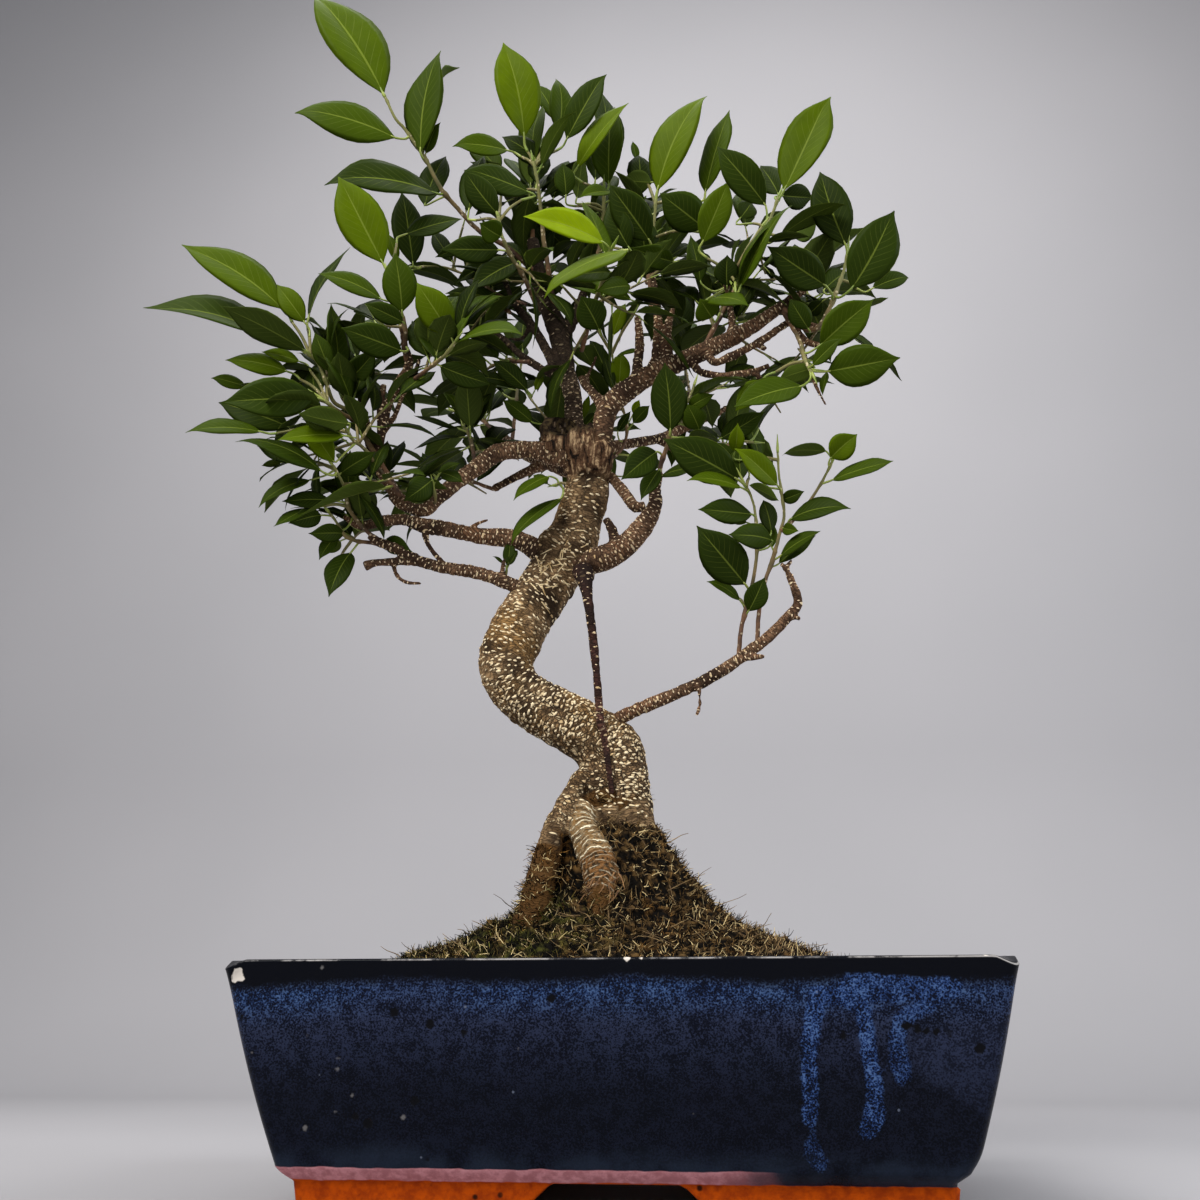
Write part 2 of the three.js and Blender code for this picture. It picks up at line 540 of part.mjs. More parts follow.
    leaves: [
      [-6, -80, 479, -47, -98, 487, 22, 45], [7, -78, 475, -36, -98, 440, 27, 70],
      [-4, -62, 472, -30, -78, 459, 16, 35], [6, -58, 465, -11, -74, 453, 12, 10],
      [-13, -44, 447, -22, -56, 462, 18, 0], [-8, -60, 485, -22, -50, 529, 22, 65]] },
  { name: "spray_top_mid", thick: 2.4, thin: 1.1,
    twig: [[-26, 8, 508], [-20, 0, 518], [-16, -8, 533], [-14, -14, 547], [-13, -18, 558]],
    leaves: [
      [-28, -30, 566, 5, -50, 594, 22, 55], [-13, -14, 579, -16, -10, 638, 28, 50],
      [-10, -20, 560, -7, -28, 611, 24, 35], [-34, -34, 544, -35, -42, 561, 13, 0],
      [-29, -24, 549, -26, -20, 583, 16, 140], [-7, -26, 550, -25, -40, 539, 12, 55],
      [3, -30, 508, -8, -38, 533, 18, 0], [-20, -6, 574, -26, 2, 611, 18, 45]] },
  { name: "spray_right_centre", thick: 2.4, thin: 1.1,
    twig: [[14, -12, 475], [14, -14, 489], [13, -18, 500], [16, -22, 518], [18, -26, 532], [19, -28, 542]],
    leaves: [
      [20, -30, 546, 50, -44, 602, 30, 40], [15, -28, 513, -7, -46, 541, 23, 0],
      [16, -22, 558, -2, -20, 563, 14, 180], [29, -36, 493, 7, -56, 491, 15, 0],
      [47, -36, 514, 23, -52, 528, 23, 0], [48, -26, 545, 64, -36, 594, 24, 50],
      [6, -10, 584, 4, -12, 596, 6, 30]] },
  { name: "spray_right_front", thick: 2.4, thin: 1.1,
    twig: [[60, -28, 474], [59, -38, 476], [65, -46, 480], [71, -52, 488], [80, -56, 499]],
    leaves: [
      [82, -58, 511, 56, -74, 540, 20, 0], [46, -50, 495, 62, -62, 526, 18, 0],
      [64, -48, 463, 81, -66, 492, 18, 105], [66, -52, 463, 94, -70, 503, 23, 65],
      [59, -40, 472, 60, -50, 486, 15, 0], [44, -38, 477, 39, -46, 503, 13, 30],
      [47, -40, 464, 70, -60, 448, 16, 60], [50, -36, 455, 44, -48, 460, 16, 0]] },
  { name: "spray_right_top", thick: 2.6, thin: 1.1,
    twig: [[42, -18, 442], [53, -14, 466], [65, -14, 489], [74, -18, 501], [81, -22, 516],
      [88, -26, 531], [91, -28, 538]],
    leaves: [
      [94, -30, 540, 122, -42, 595, 30, 30], [91, -22, 543, 81, -14, 570, 16, 0],
      [93, -18, 545, 112, -4, 552, 16, 0], [90, -38, 504, 126, -58, 510, 20, 120],
      [97, -30, 509, 113, -22, 526, 16, 180], [68, -20, 530, 75, -16, 543, 13, 0]] },
  { name: "spray_right_edge", thick: 2.8, thin: 1.1,
    twig: [[89, -29, 464], [99, -30, 450], [107, -34, 445], [114, -36, 454], [120, -36, 468],
      [125, -36, 482], [127, -38, 491]],
    leaves: [
      [126, -40, 494, 114, -48, 539, 23, 0], [127, -44, 463, 151, -58, 502, 27, 0],
      [140, -30, 471, 162, -24, 481, 12, 30], [113, -46, 465, 82, -66, 479, 22, 0],
      [113, -30, 472, 130, -14, 493, 15, 30], [103, -38, 443, 93, -48, 457, 13, 0],
      [112, -28, 466, 103, -20, 462, 9, 0]] },
  { name: "spray_right_low", thick: 2.2, thin: 1.0,
    twig: [[90, -29, 460], [98, -38, 435], [100, -44, 420], [103, -48, 410]],
    leaves: [
      [108, -48, 427, 137, -58, 447, 21, 0], [111, -50, 410, 147, -66, 407, 23, 0],
      [103, -50, 414, 118, -62, 423, 10, 30], [97, -52, 401, 61, -70, 382, 21, 40],
      [105, -40, 418, 85, -40, 412, 11, 180], [111, -44, 413, 108, -44, 399, 7, 50],
      [76, -44, 410, 61, -46, 391, 12, 0]] },
  { name: "spray_mid_hanging", thick: 2.4, thin: 1.0,
    twig: [[17, -15, 366], [19, -20, 375], [23, -26, 383], [25, -30, 389], [36, -34, 407], [39, -34, 415]],
    leaves: [
      [25, -32, 388, 23, -46, 423, 21, 0], [41, -30, 389, 35, -40, 400, 14, 0],
      [35, -34, 383, 53, -50, 372, 13, 115], [36, -30, 410, 54, -36, 414, 9, 135],
      [35, -34, 400, 50, -44, 403, 9, 10], [17, -26, 379, -1, -42, 356, 17, 0],
      [18, -24, 369, 8, -30, 349, 11, 25], [52, -24, 386, 77, -30, 398, 13, 5],
      [19, -20, 367, 42, -36, 363, 13, 55]] },
  { name: "spray_low_centre", thick: 2.4, thin: 1.0,
    twig: [[58, -16, 262], [60, -20, 277], [64, -24, 290], [68, -28, 305], [70, -30, 320], [70, -32, 333],
      [68, -34, 346], [64, -36, 354]],
    leaves: [
      [61, -40, 354, 23, -58, 371, 23, 0], [63, -40, 349, 35, -54, 350, 15, 60],
      [68, -34, 336, 40, -50, 334, 15, 25], [63, -30, 298, 39, -48, 325, 24, 0],
      [78, -38, 319, 55, -56, 316, 14, 10], [60, -24, 291, 43, -30, 301, 9, 50],
      [64, -24, 285, 73, -32, 301, 13, 0], [63, -34, 356, 63, -30, 378, 12, 0]] },
  { name: "spray_low_right", thick: 2.4, thin: 0.9,
    twig: [[68, -18, 266], [69, -20, 281], [72, -24, 297], [78, -26, 313], [82, -28, 326], [85, -28, 337],
      [84, -30, 350], [83, -32, 362], [83, -34, 372]],
    leaves: [
      [82, -34, 352, 61, -50, 368, 15, 30], [60, -40, 370, 62, -50, 382, 9, 0],
      [84, -26, 347, 96, -34, 348, 8, 0], [67, -36, 352, 82, -44, 339, 10, 130],
      [82, -28, 314, 103, -44, 321, 13, 55], [81, -24, 311, 101, -26, 326, 12, 45],
      [78, -22, 321, 73, -10, 342, 12, 20]] },
  { name: "spray_low_edge", thick: 1.8, thin: 0.9,
    twig: [[83, -28, 328], [92, -32, 335], [99, -36, 342], [105, -40, 350], [111, -44, 360]],
    leaves: [
      [110, -46, 361, 124, -54, 370, 15, 0], [108, -46, 365, 84, -58, 360, 13, 125],
      [110, -42, 350, 141, -58, 352, 16, 60], [88, -32, 333, 118, -48, 332, 16, 45],
      [84, -30, 329, 92, -40, 323, 7, 0]] },
  { name: "spray_trunk_left", thick: 1.6, thin: 0.9,
    twig: [[-32, -4, 370], [-37, -12, 369], [-41, -17, 366]],
    leaves: [
      [-44, -20, 370, -62, -32, 352, 13, 55], [-38, -14, 359, -64, -30, 328, 20, 65],
      [-45, -18, 366, -54, -16, 373, 6, 30]] },
  { name: "spray_branch_small", thick: 1.8, thin: 0.9,
    twig: [[-113, -12, 359], [-108, -22, 358], [-108, -28, 363]],
    leaves: [
      [-108, -32, 366, -121, -40, 351, 15, 0], [-104, -30, 371, -90, -34, 363, 9, 30],
      [-106, -26, 371, -94, -26, 378, 8, 40]] },
];

// ---- sprays inside the crown and behind it, which grow by rule from one point to another

const ruledSprays = [
  { name: "spray_crown_top", from: [-59, -4, 536], to: [-62, 12, 582] },
  { name: "spray_crown_back", from: [-52, 2, 500], to: [-62, 46, 552] },
  { name: "spray_crown_left", from: [-72, -4, 486], to: [-108, 20, 512] },
  { name: "spray_crown_low", from: [-60, 0, 454], to: [-104, 34, 462] },
  { name: "spray_crown_right", from: [-24, 8, 526], to: [6, 34, 562] },
  { name: "spray_crown_rear", from: [-35, 6, 450], to: [-46, 64, 492] },
  { name: "spray_mid_top", from: [12, -14, 494], to: [26, 22, 530] },
  { name: "spray_right_inner", from: [57, -23, 448], to: [68, 16, 486] },
  { name: "spray_right_rear", from: [90, -29, 464], to: [112, 10, 490] },
  { name: "spray_left_inner", from: [-88, -12, 382], to: [-104, 20, 424] },
  { name: "spray_left_back", from: [-134, -14, 364], to: [-166, 16, 386] },
  { name: "spray_left_upper", from: [-155, -22, 419], to: [-172, 4, 462] },
  { name: "spray_back_low", from: [-92, 58, 398], to: [-136, 76, 408] },
  { name: "spray_back_left", from: [-96, 86, 449], to: [-134, 112, 482] },
  { name: "spray_back_high", from: [-84, 74, 436], to: [-84, 102, 512] },
  { name: "spray_back_mid", from: [-54, 44, 409], to: [-28, 88, 444] },
  { name: "spray_back_right", from: [56, 88, 459], to: [92, 108, 484] },
  { name: "spray_back_top", from: [34, 66, 441], to: [26, 96, 510] },
  { name: "spray_back_edge", from: [46, 56, 410], to: [88, 64, 428] },
].map((spray, i) => ({ ...spray, size: ruled.sizes[i % ruled.sizes.length], seed: i }));

// ---------------------------------------------------------------- assembly

const potSolid = makePot();
addMesh("pot", potSolid, look.pot);
for (const [name, side] of [["left", -1], ["right", 1]]) {
  addMesh(`drainage_screen_${name}`, makeScreen(side * pot.drainX), look.mesh);
  addMesh(`screen_wire_${name}`, makeScreenWire(side * pot.drainX), look.wire, 0.8);
}

const trunk = (swell) => joined([
  stem(trunkRoute, trunkSides, 28, swell),
  ...rootRoutes.map((route) => stem(route, rootSides, route.length, swell)),
]);
const trunkSwollen = trunk(gap);

// Soil: what the pot's hollow holds, kept clear of the screens, the wires and the roots.
const soilFloor = pot.underside + pot.floor + gap;
const soilLevels = [soilFloor, soil.top].map((z) => potLevel(z, pot.wall + 1.1 * gap));
const roomSide = screen.side + 2 * gap;
const roomHeight = 2 * (screen.thick + 2 * wire.radius + 3 * gap);
const room = (side) => block(roomSide, roomSide, roomHeight, side * pot.drainX, 0, soilFloor);
const soilSolid = roundedLoft(soilLevels, pot.innerRadius)
  .subtract(trunkSwollen).subtract(room(-1)).subtract(room(1));
addMesh("soil", largestBody(soilSolid), look.soil);

// Moss: a mound that climbs the foot of the trunk.
const mossProfile = [[0, 0], ...mound.profile].map(([r, z]) => new THREE.Vector2(r, z));
const mossShape = new THREE.LatheGeometry(mossProfile, mound.sides).rotateX(Math.PI / 2);
const mossCorner = mossShape.attributes.position;
for (let i = 0; i < mossCorner.count; i++) {
  const [x, y, z] = [mossCorner.getX(i), mossCorner.getY(i), mossCorner.getZ(i)];
  const lump = z > mound.lump ? mound.lump * Math.sin(0.09 * x + 1) * Math.sin(0.11 * y) : 0;
  mossCorner.setXYZ(i, mound.x + x, y * mound.depthScale, soil.top + gap + z + lump);
}
const mossSolid = toSolid(outward(mossShape));
addMesh("moss_mound", largestBody(mossSolid.subtract(trunkSwollen)), look.moss);

settle("trunk", trunk(0), trunkSwollen, look.bark);
for (const [name, routes] of Object.entries({ aerial_root: [aerialRootRoute], ...branchRoutes })) {
  const limb = (swell) => joined(routes.map(
    (route) => stem(route, limbSides, Math.round(1.3 * route.length), swell),
  ));
  settle(name, limb(0), limb(gap), look.bark);
}
for (const spray of [...pickedSprays, ...ruledSprays]) {
  settle(spray.name, growSpray(spray, 0), growSpray(spray, gap), look.leaf);
}

// The origin goes to the middle of the whole plant's footprint, on the table.
const extent = new THREE.Box3().setFromObject(plant);
const middle = extent.getCenter(new THREE.Vector3());
plant.position.set(-Math.round(middle.x), -Math.round(middle.y), 0);

const bonsai = new THREE.Group();
bonsai.add(plant);
export default bonsai;
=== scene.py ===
import random
from math import atan2, cos, exp, hypot, pi, radians, sin

import bmesh
import bpy
import numpy as np
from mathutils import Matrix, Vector, kdtree, noise
from mathutils.bvhtree import BVHTree


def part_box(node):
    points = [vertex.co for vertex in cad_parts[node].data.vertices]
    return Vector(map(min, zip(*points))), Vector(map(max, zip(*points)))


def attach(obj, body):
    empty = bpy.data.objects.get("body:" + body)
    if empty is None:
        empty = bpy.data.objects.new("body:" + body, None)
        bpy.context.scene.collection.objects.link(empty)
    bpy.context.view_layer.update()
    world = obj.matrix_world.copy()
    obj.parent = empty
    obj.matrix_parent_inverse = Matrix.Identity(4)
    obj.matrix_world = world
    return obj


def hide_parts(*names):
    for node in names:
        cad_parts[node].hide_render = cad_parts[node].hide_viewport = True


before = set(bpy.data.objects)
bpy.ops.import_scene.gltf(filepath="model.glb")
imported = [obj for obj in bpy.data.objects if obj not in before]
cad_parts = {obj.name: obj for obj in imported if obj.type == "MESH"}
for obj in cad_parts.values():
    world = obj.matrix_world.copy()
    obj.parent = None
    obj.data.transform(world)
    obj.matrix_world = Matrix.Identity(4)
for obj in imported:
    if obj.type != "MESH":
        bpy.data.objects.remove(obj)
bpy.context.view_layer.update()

# lengths below are millimetres from the middle of the pot's underside; the frame is in metres
mm = 0.001
potLow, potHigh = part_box("pot")
home = np.array([(potLow[0] + potHigh[0]) / 2, (potLow[1] + potHigh[1]) / 2, 0.0])


def inFrame(points):
    return np.asarray(points, float) * mm + home


# camera

camera = {"place": (63, -682, 74), "yaw": 6.75, "pitch": 18.4, "lens": 39.0, "sensor": 36.0}


def setCamera():
    data = bpy.data.cameras.new("photoCamera")
    data.lens = camera["lens"]
    data.sensor_width = camera["sensor"]
    data.clip_start = 0.01
    rig = bpy.data.objects.new("photoCamera", data)
    rig.location = inFrame(camera["place"])
    rig.rotation_euler = (radians(90 + camera["pitch"]), 0, radians(camera["yaw"]))
    bpy.context.scene.collection.objects.link(rig)
    bpy.context.scene.camera = rig


setCamera()
print("camera set")

# node helpers


def paint(red, green, blue):  # a screen colour, 0 to 255, as the shader's linear one
    return tuple((c / 12.92 if c < 0.04 else ((c + 0.055) / 1.055) ** 2.4)
                 for c in (red / 255, green / 255, blue / 255)) + (1.0,)


bench = {"tree": None}  # the node tree that is being built


def arithmetic(operation, swapped=False):
    return lambda wire, other=0.0: sums(operation, *((other, wire) if swapped else (wire, other)))


class Wire:  # what leaves a node: it takes plain arithmetic
    def __init__(self, socket):
        self.socket = socket

    __add__, __sub__, __mul__ = arithmetic("ADD"), arithmetic("SUBTRACT"), arithmetic("MULTIPLY")
    __truediv__, __pow__, __abs__ = arithmetic("DIVIDE"), arithmetic("POWER"), arithmetic("ABSOLUTE")
    __rsub__ = arithmetic("SUBTRACT", True)


class Made:  # a node, which gives its outputs by name or number
    def __init__(self, node):
        self.node = node

    def __getitem__(self, key):
        return Wire(self.node.outputs[key])


def feed(socket, value):
    if isinstance(value, Wire):
        bench["tree"].links.new(value.socket, socket)
    else:
        socket.default_value = value


def put(kind, inputs=None, **settings):
    node = bench["tree"].nodes.new(kind)
    for key, value in settings.items():
        setattr(node, key, value)
    for key, value in (inputs or {}).items():
        feed(node.inputs[key], value)
    return Made(node)


def sums(operation, a, b=0.0):
    return put("ShaderNodeMath", {0: a, 1: b}, operation=operation)[0]


def sine(value):
    return sums("SINE", value)


def higher(a, b):
    return sums("MAXIMUM", a, b)


def axis(vector, name):
    return put("ShaderNodeSeparateXYZ", {"Vector": vector})[name]


def span(value, low, high, start=0.0, end=1.0, smooth=True):
    ends = {"Value": value, "From Min": low, "From Max": high, "To Min": start, "To Max": end}
    return put("ShaderNodeMapRange", ends, interpolation_type="SMOOTHSTEP" if smooth else "LINEAR")["Result"]


def mixed(share, a, b):
    return put("ShaderNodeMix", {0: share, 6: a, 7: b}, data_type="RGBA")[2]


def grain(where, scale, detail=3.0, rough=0.5, warp=0.0):
    return put("ShaderNodeTexNoise", {"Vector": where, "Scale": scale, "Detail": detail, "Roughness": rough,
                                      "Distortion": warp})["Fac"]


def cells(where, scale, feature="F1"):
    return put("ShaderNodeTexVoronoi", {"Vector": where, "Scale": scale}, feature=feature)


def stretched(where, scale):
    return put("ShaderNodeMapping", {"Vector": where, "Scale": scale})["Vector"]


def joined(a, b):
    return put("ShaderNodeVectorMath", {0: a, 1: b}, operation="ADD")[0]


def attribute(name, output="Fac"):
    return put("ShaderNodeAttribute", attribute_name=name)[output]


def newMaterial(name):
    material = bpy.data.materials.new(name)
    material.use_nodes = True
    bench["tree"] = material.node_tree
    return material, put("ShaderNodeTexCoord")["Object"]


def finishMaterial(material, colour, roughness, specular=0.5, metallic=0.0, bump=None):
    sockets = material.node_tree.nodes["Principled BSDF"].inputs
    feed(sockets["Base Color"], colour)
    feed(sockets["Roughness"], roughness)
    sockets["Specular IOR Level"].default_value = specular
    sockets["Metallic"].default_value = metallic
    if bump:
        height, strength, distance = bump
        ends = {"Height": height, "Strength": strength, "Distance": distance}
        feed(sockets["Normal"], put("ShaderNodeBump", ends)["Normal"])
    return material


# materials

glaze = {
    "deep": paint(4, 6, 14), "navy": paint(8, 13, 28), "haze": paint(46, 54, 80),
    "bright": paint(36, 60, 106), "run": paint(38, 64, 118), "light": paint(98, 128, 168),
    "foot strip": paint(36, 46, 62), "mauve": paint(168, 108, 114), "mauve light": paint(204, 142, 148),
    "clay": paint(188, 76, 4), "clay mid": paint(146, 52, 6),
    "clay dark": paint(52, 20, 6), "bare": paint(214, 206, 196), "speck": paint(104, 112, 130),
    "rim": paint(170, 166, 164), "roughness": 0.27, "specular": 0.08, "clay roughness": 0.85,
}


def glazeMaterial():
    material, where = newMaterial("speckledGlaze")
    split = put("ShaderNodeSeparateXYZ", {"Vector": where})
    x, z = split["X"], split["Z"]
    drift = grain(where, 14, 2)
    z = z + (drift - 0.5) * 0.012
    # the speckle: a fine net of light glaze with dark dots in it
    dots = cells(where, 1250)["Distance"]
    fine = grain(where, 1100, 3, 0.65)
    drifts = grain(where, 150, 3, 0.6)
    speckle = dots * 0.5 + fine + drifts * 0.7
    glint = span(speckle, 1.14, 1.4)
    speckle = span(speckle, 0.96, 1.3)
    # how much blue shows, by height: none in the rim band, most just under it, little at the foot
    below = span(z + drifts * 0.006, 0.1, 0.094)
    fade = span(z, 0.046, 0.094)
    blue = below * (fade * 0.8 + 0.16)
    top = below * span(z, 0.076, 0.094)
    patch = span(grain(where, 9, 1), 0.38, 0.62)
    top = top * (patch * 0.6 + 0.4)
    ground = mixed(blue, glaze["deep"], glaze["navy"])
    light = mixed(top, glaze["haze"], glaze["bright"])
    colour = mixed(blue * speckle, ground, light)
    colour = mixed(top * glint * 0.45, colour, glaze["light"])
    # runs of lighter glaze, and the hazy corner
    ragged = (grain(where, 260, 3) - 0.5) * 3.4
    run = span(attribute("run") + ragged, 0.9, -0.9)
    run = run * attribute("strength")
    colour = mixed(run * 0.75, colour, glaze["navy"])
    colour = mixed(run * speckle, colour, glaze["run"])
    colour = mixed(run * glint * 0.5, colour, glaze["light"])
    veil = span(attribute("veil") + ragged, 2.0, -3.0)
    veil = veil * (speckle * 0.5 + 0.2)
    colour = mixed(veil * 0.55, colour, glaze["haze"])
    # a pale strip where the glaze gathers at the wall's lower edge
    strip = span(z, 0.031, 0.0215) * span(grain(where, 60, 3), 0.3, 0.62)
    colour = mixed(strip * 0.5, colour, glaze["foot strip"])
    # pale specks and dark pits
    speckSeed = cells(where, 95)
    speck = span(speckSeed["Distance"], 0.075, 0.03) * span(axis(speckSeed["Color"], "X"), 0.66, 0.7)
    colour = mixed(speck * 0.7, colour, glaze["speck"])
    pit = span(attribute("pit") + ragged * 0.3, 0.5, -0.3)
    colour = mixed(pit, colour, paint(8, 9, 14))
    # thin glaze on the rim's edge, and the chips that show the pale body
    rim = span(attribute("rim"), 1.1, 0.2) * span(grain(where, 38, 6, 0.7), 0.44, 0.56)
    colour = mixed(rim * 0.8, colour, glaze["rim"])
    colour = mixed(span(attribute("grey") + ragged * 0.5, 0.3, -0.7) * 0.3, colour, glaze["rim"])
    chip = span(attribute("chip") + ragged * 0.5, 0.3, -0.3)
    colour = mixed(chip, colour, glaze["bare"])
    # below the glaze: a mauve edge to the left, then bare clay
    line = (grain(where, 120, 2) - 0.5) * 0.0016
    level = split["Z"] + line
    left = span(x + line * 14, home[0] + 0.075, home[0] + 0.035)
    mauve = span(level, 0.0198, 0.0192) * left
    clayDots = span(cells(where, 110)["Distance"], 0.2, 0.1)
    clayNoise = grain(where, 240, 4, 0.6)
    mauveTint = mixed(span(clayNoise, 0.35, 0.7), glaze["mauve"], glaze["mauve light"])
    colour = mixed(mauve, colour, mauveTint)
    bare = span(level, 0.0145, 0.0139)
    clay = mixed(span(clayNoise, 0.3, 0.7), glaze["clay"], glaze["clay mid"])
    clay = mixed(clayDots * span(grain(where, 60, 2), 0.47, 0.55), clay, glaze["clay dark"])
    inside = span(attribute("inside"), 0.4, 0.6)
    bare = higher(bare, inside)
    colour = mixed(bare, colour, clay)
    dull = higher(higher(bare, mauve), chip)
    height = grain(where, 90, 2) * 0.35 + clayNoise * dull * 0.6
    height = height - pit * 0.8
    height = height + run * 0.3
    roughness = span(dull, 0, 1, glaze["roughness"], glaze["clay roughness"])
    return finishMaterial(material, colour, roughness, glaze["specular"], bump=(height, 0.5, 0.0006))


bark = {
    "base": paint(156, 126, 90), "dark": paint(50, 36, 22), "warm": paint(146, 112, 68),
    "moss": paint(104, 70, 28), "pale": paint(240, 220, 180), "tan": paint(200, 168, 120),
    "ring": paint(248, 236, 204), "root": paint(150, 128, 96), "rust": paint(128, 86, 44),
    "wound": paint(88, 62, 42), "wound light": paint(188, 158, 120), "hollow": paint(80, 66, 42),
    "gap": paint(26, 17, 9), "roughness": 0.85, "specular": 0.15,
}


def barkMaterial(name, base, dark, warm, dotShare):
    material, where = newMaterial(name)
    coarse = grain(where, 45, 4, 0.6)
    fine = grain(where, 420, 4, 0.65)
    colour = mixed(span(coarse, 0.36, 0.64), dark, base)
    colour = mixed(span(grain(where, 24, 2), 0.5, 0.66), colour, warm)
    colour = mixed(span(fine, 0.5, 0.35) * 0.7, colour, dark)
    # small flecks in cells stretched round the stem
    stem = stretched(attribute("stem", "Vector"), (250, 720, 100))
    bent = put("ShaderNodeTexNoise", {"Vector": where, "Scale": 140.0})["Color"]
    bent = stretched(bent, (1.6, 2.6, 0))
    warped = joined(stem, bent)
    dots = cells(warped, 1.0)
    crack = cells(warped, 1.0, "DISTANCE_TO_EDGE")["Distance"]
    picks = put("ShaderNodeSeparateXYZ", {"Vector": dots["Color"]})
    dot = span(dots["Distance"], 0.46, 0.36) * span(picks["X"], dotShare, dotShare - 0.05)
    colour = mixed(span(crack, 0.14, 0.0) * 0.75, colour, dark)
    pale = mixed(picks["Y"], bark["tan"], bark["pale"])
    colour = mixed(dot * 0.9, colour, pale)
    # a net of pale beads between dark gaps, where the bark is old
    old = attribute("old")
    swirl = joined(stretched(where, (430, 430, 560)), bent)
    beads = cells(swirl, 1.0)
    net = cells(swirl, 1.0, "DISTANCE_TO_EDGE")["Distance"]
    beadPick = axis(beads["Color"], "Y")
    bead = span(net, 0.1, 0.2) * span(beadPick, 0.46, 0.4)
    bead = bead * old
    colour = mixed(span(net, 0.16, 0.04) * old * 0.8, colour, dark)
    colour = mixed(bead, colour, pale)
    # pale rings round the roots that show them, with a painted shadow line beneath each ring
    run = axis(attribute("stem", "Vector"), "Y")
    run = run + grain(where, 110, 3) * 0.007
    wave = sine(run * (2 * pi / 0.0033))
    ringed = attribute("ringed")
    broken = span(grain(where, 290, 3), 0.4, 0.52)
    ring = span(wave, 0.58, 0.95) * ringed * broken
    # painted shadow: the dark band beneath each ring
    under = span(wave, -0.35, -0.85) * ringed * broken
    rusty = span(attribute("rusty") + fine * 0.5, 0.45, 0.85)
    plain = mixed(span(fine, 0.4, 0.6), bark["warm"], bark["root"])
    colour = mixed(ringed * 0.85, colour, plain)
    colour = mixed(under * 0.75, colour, dark)
    colour = mixed(rusty * 0.85, colour, mixed(span(fine, 0.4, 0.58), bark["gap"], bark["rust"]))
    colour = mixed(ring * span(rusty, 0.0, 1.0, 1.0, 0.35), colour, bark["ring"])
    # upright ridges on the swollen cut top, and painted shade in the hollow in it
    scar = attribute("scar")
    ridge = grain(stretched(where, (1, 1, 0.24)), 330, 3, 0.6, 0.5)
    wound = mixed(span(ridge, 0.5, 0.66), bark["wound"], bark["wound light"])
    wound = mixed(span(ridge, 0.47, 0.38), wound, bark["gap"])
    colour = mixed(span(scar, 0.0, 1.0, smooth=False), colour, wound)
    # painted shade: the hollow, and the cut towards its top, turn to a dark colour
    hollow = mixed(span(grain(where, 300, 3), 0.42, 0.66), bark["gap"], bark["hollow"])
    colour = mixed(span(scar, 1.0, 1.6), colour, hollow)
    # painted shade: the leader high in the crown is darkened towards the gap colour
    colour = mixed(attribute("dim") * 0.7, colour, mixed(fine, bark["gap"], dark))
    low = span(attribute("mossy") + fine * 0.6, 0.4, 0.8)
    colour = mixed(low, colour, mixed(coarse, dark, bark["moss"]))
    height = fine + higher(higher(dot, bead), ring) * 0.9
    height = height - span(crack, 0.14, 0.0) * 0.5
    return finishMaterial(material, colour, bark["roughness"], bark["specular"], bump=(height, 0.9, 0.0009))


def fleckMaterial(name, low, high):
    material, where = newMaterial(name)
    tint = mixed(span(grain(where, 130, 3), 0.26, 0.5), low, high)
    return finishMaterial(material, tint, 0.8, bump=(grain(where, 900, 2), 0.4, 0.0003))


# leaf colours by tone, which also paints light: dark stops for leaves in shade, bright ones for leaves lit
# through from behind
leafPaint = {
    "tones": ((0.0, paint(20, 28, 6)), (0.3, paint(40, 54, 7)), (0.5, paint(57, 74, 4)),
              (0.75, paint(80, 98, 1)), (1.0, paint(116, 136, 0))),
    "rib": paint(124, 138, 52), "under": paint(76, 90, 36), "roughness": 0.5, "dull": 0.66, "specular": 0.04,
}


def leafMaterial(name, under):
    material, where = newMaterial(name)
    blade = put("ShaderNodeUVMap", uv_map="blade")["UV"]
    split = put("ShaderNodeSeparateXYZ", {"Vector": blade})
    along, across = split["X"], split["Y"]
    off = abs(across - 0.5)
    # the tone sets each leaf's colour and paints its light: dark in shade, bright when backlit
    ramp = put("ShaderNodeValToRGB", {"Fac": attribute("tone")})
    stops = ramp.node.color_ramp.elements
    while len(stops) < len(leafPaint["tones"]):
        stops.new(0.5)
    for stop, (place, colour) in zip(stops, leafPaint["tones"]):
        stop.position = place
        stop.color = colour
    colour = ramp["Color"]
    mottle = span(grain(where, 90, 3), 0.3, 0.7)
    colour = mixed(mottle * 0.2, colour, leafPaint["tones"][1][1])
    if under:
        colour = mixed(0.45, colour, leafPaint["under"])
    slant = along - off * 0.55
    wave = sine(slant * (2 * pi * 11))
    vein = span(wave, 0.9, 1.0) * span(off, 0.46, 0.2)
    colour = mixed(vein * 0.14, colour, leafPaint["rib"])
    wide = 0.034 - along * 0.02
    ribShare = span(off / wide, 1.0, 0.45)
    rib = ribShare * span(along, 1.0, 0.75)
    colour = mixed(rib * 0.5, colour, leafPaint["rib"])
    edge = span(off, 0.478, 0.497)
    colour = mixed(edge * 0.3, colour, leafPaint["rib"])
    height = grain(where, 300, 2) + vein * 0.5
    height = height + rib * (0.8 if under else -0.8)
    roughness = leafPaint["dull" if under else "roughness"]
    return finishMaterial(material, colour, roughness, leafPaint["specular"], bump=(height, 0.3, 0.0004))


def stalkMaterial():
    material, where = newMaterial("leafStalk")
    tint = mixed(span(grain(where, 60, 3), 0.35, 0.65), paint(112, 132, 44), paint(158, 168, 78))
    return finishMaterial(material, tint, 0.5, bump=(grain(where, 700, 2), 0.25, 0.0003))


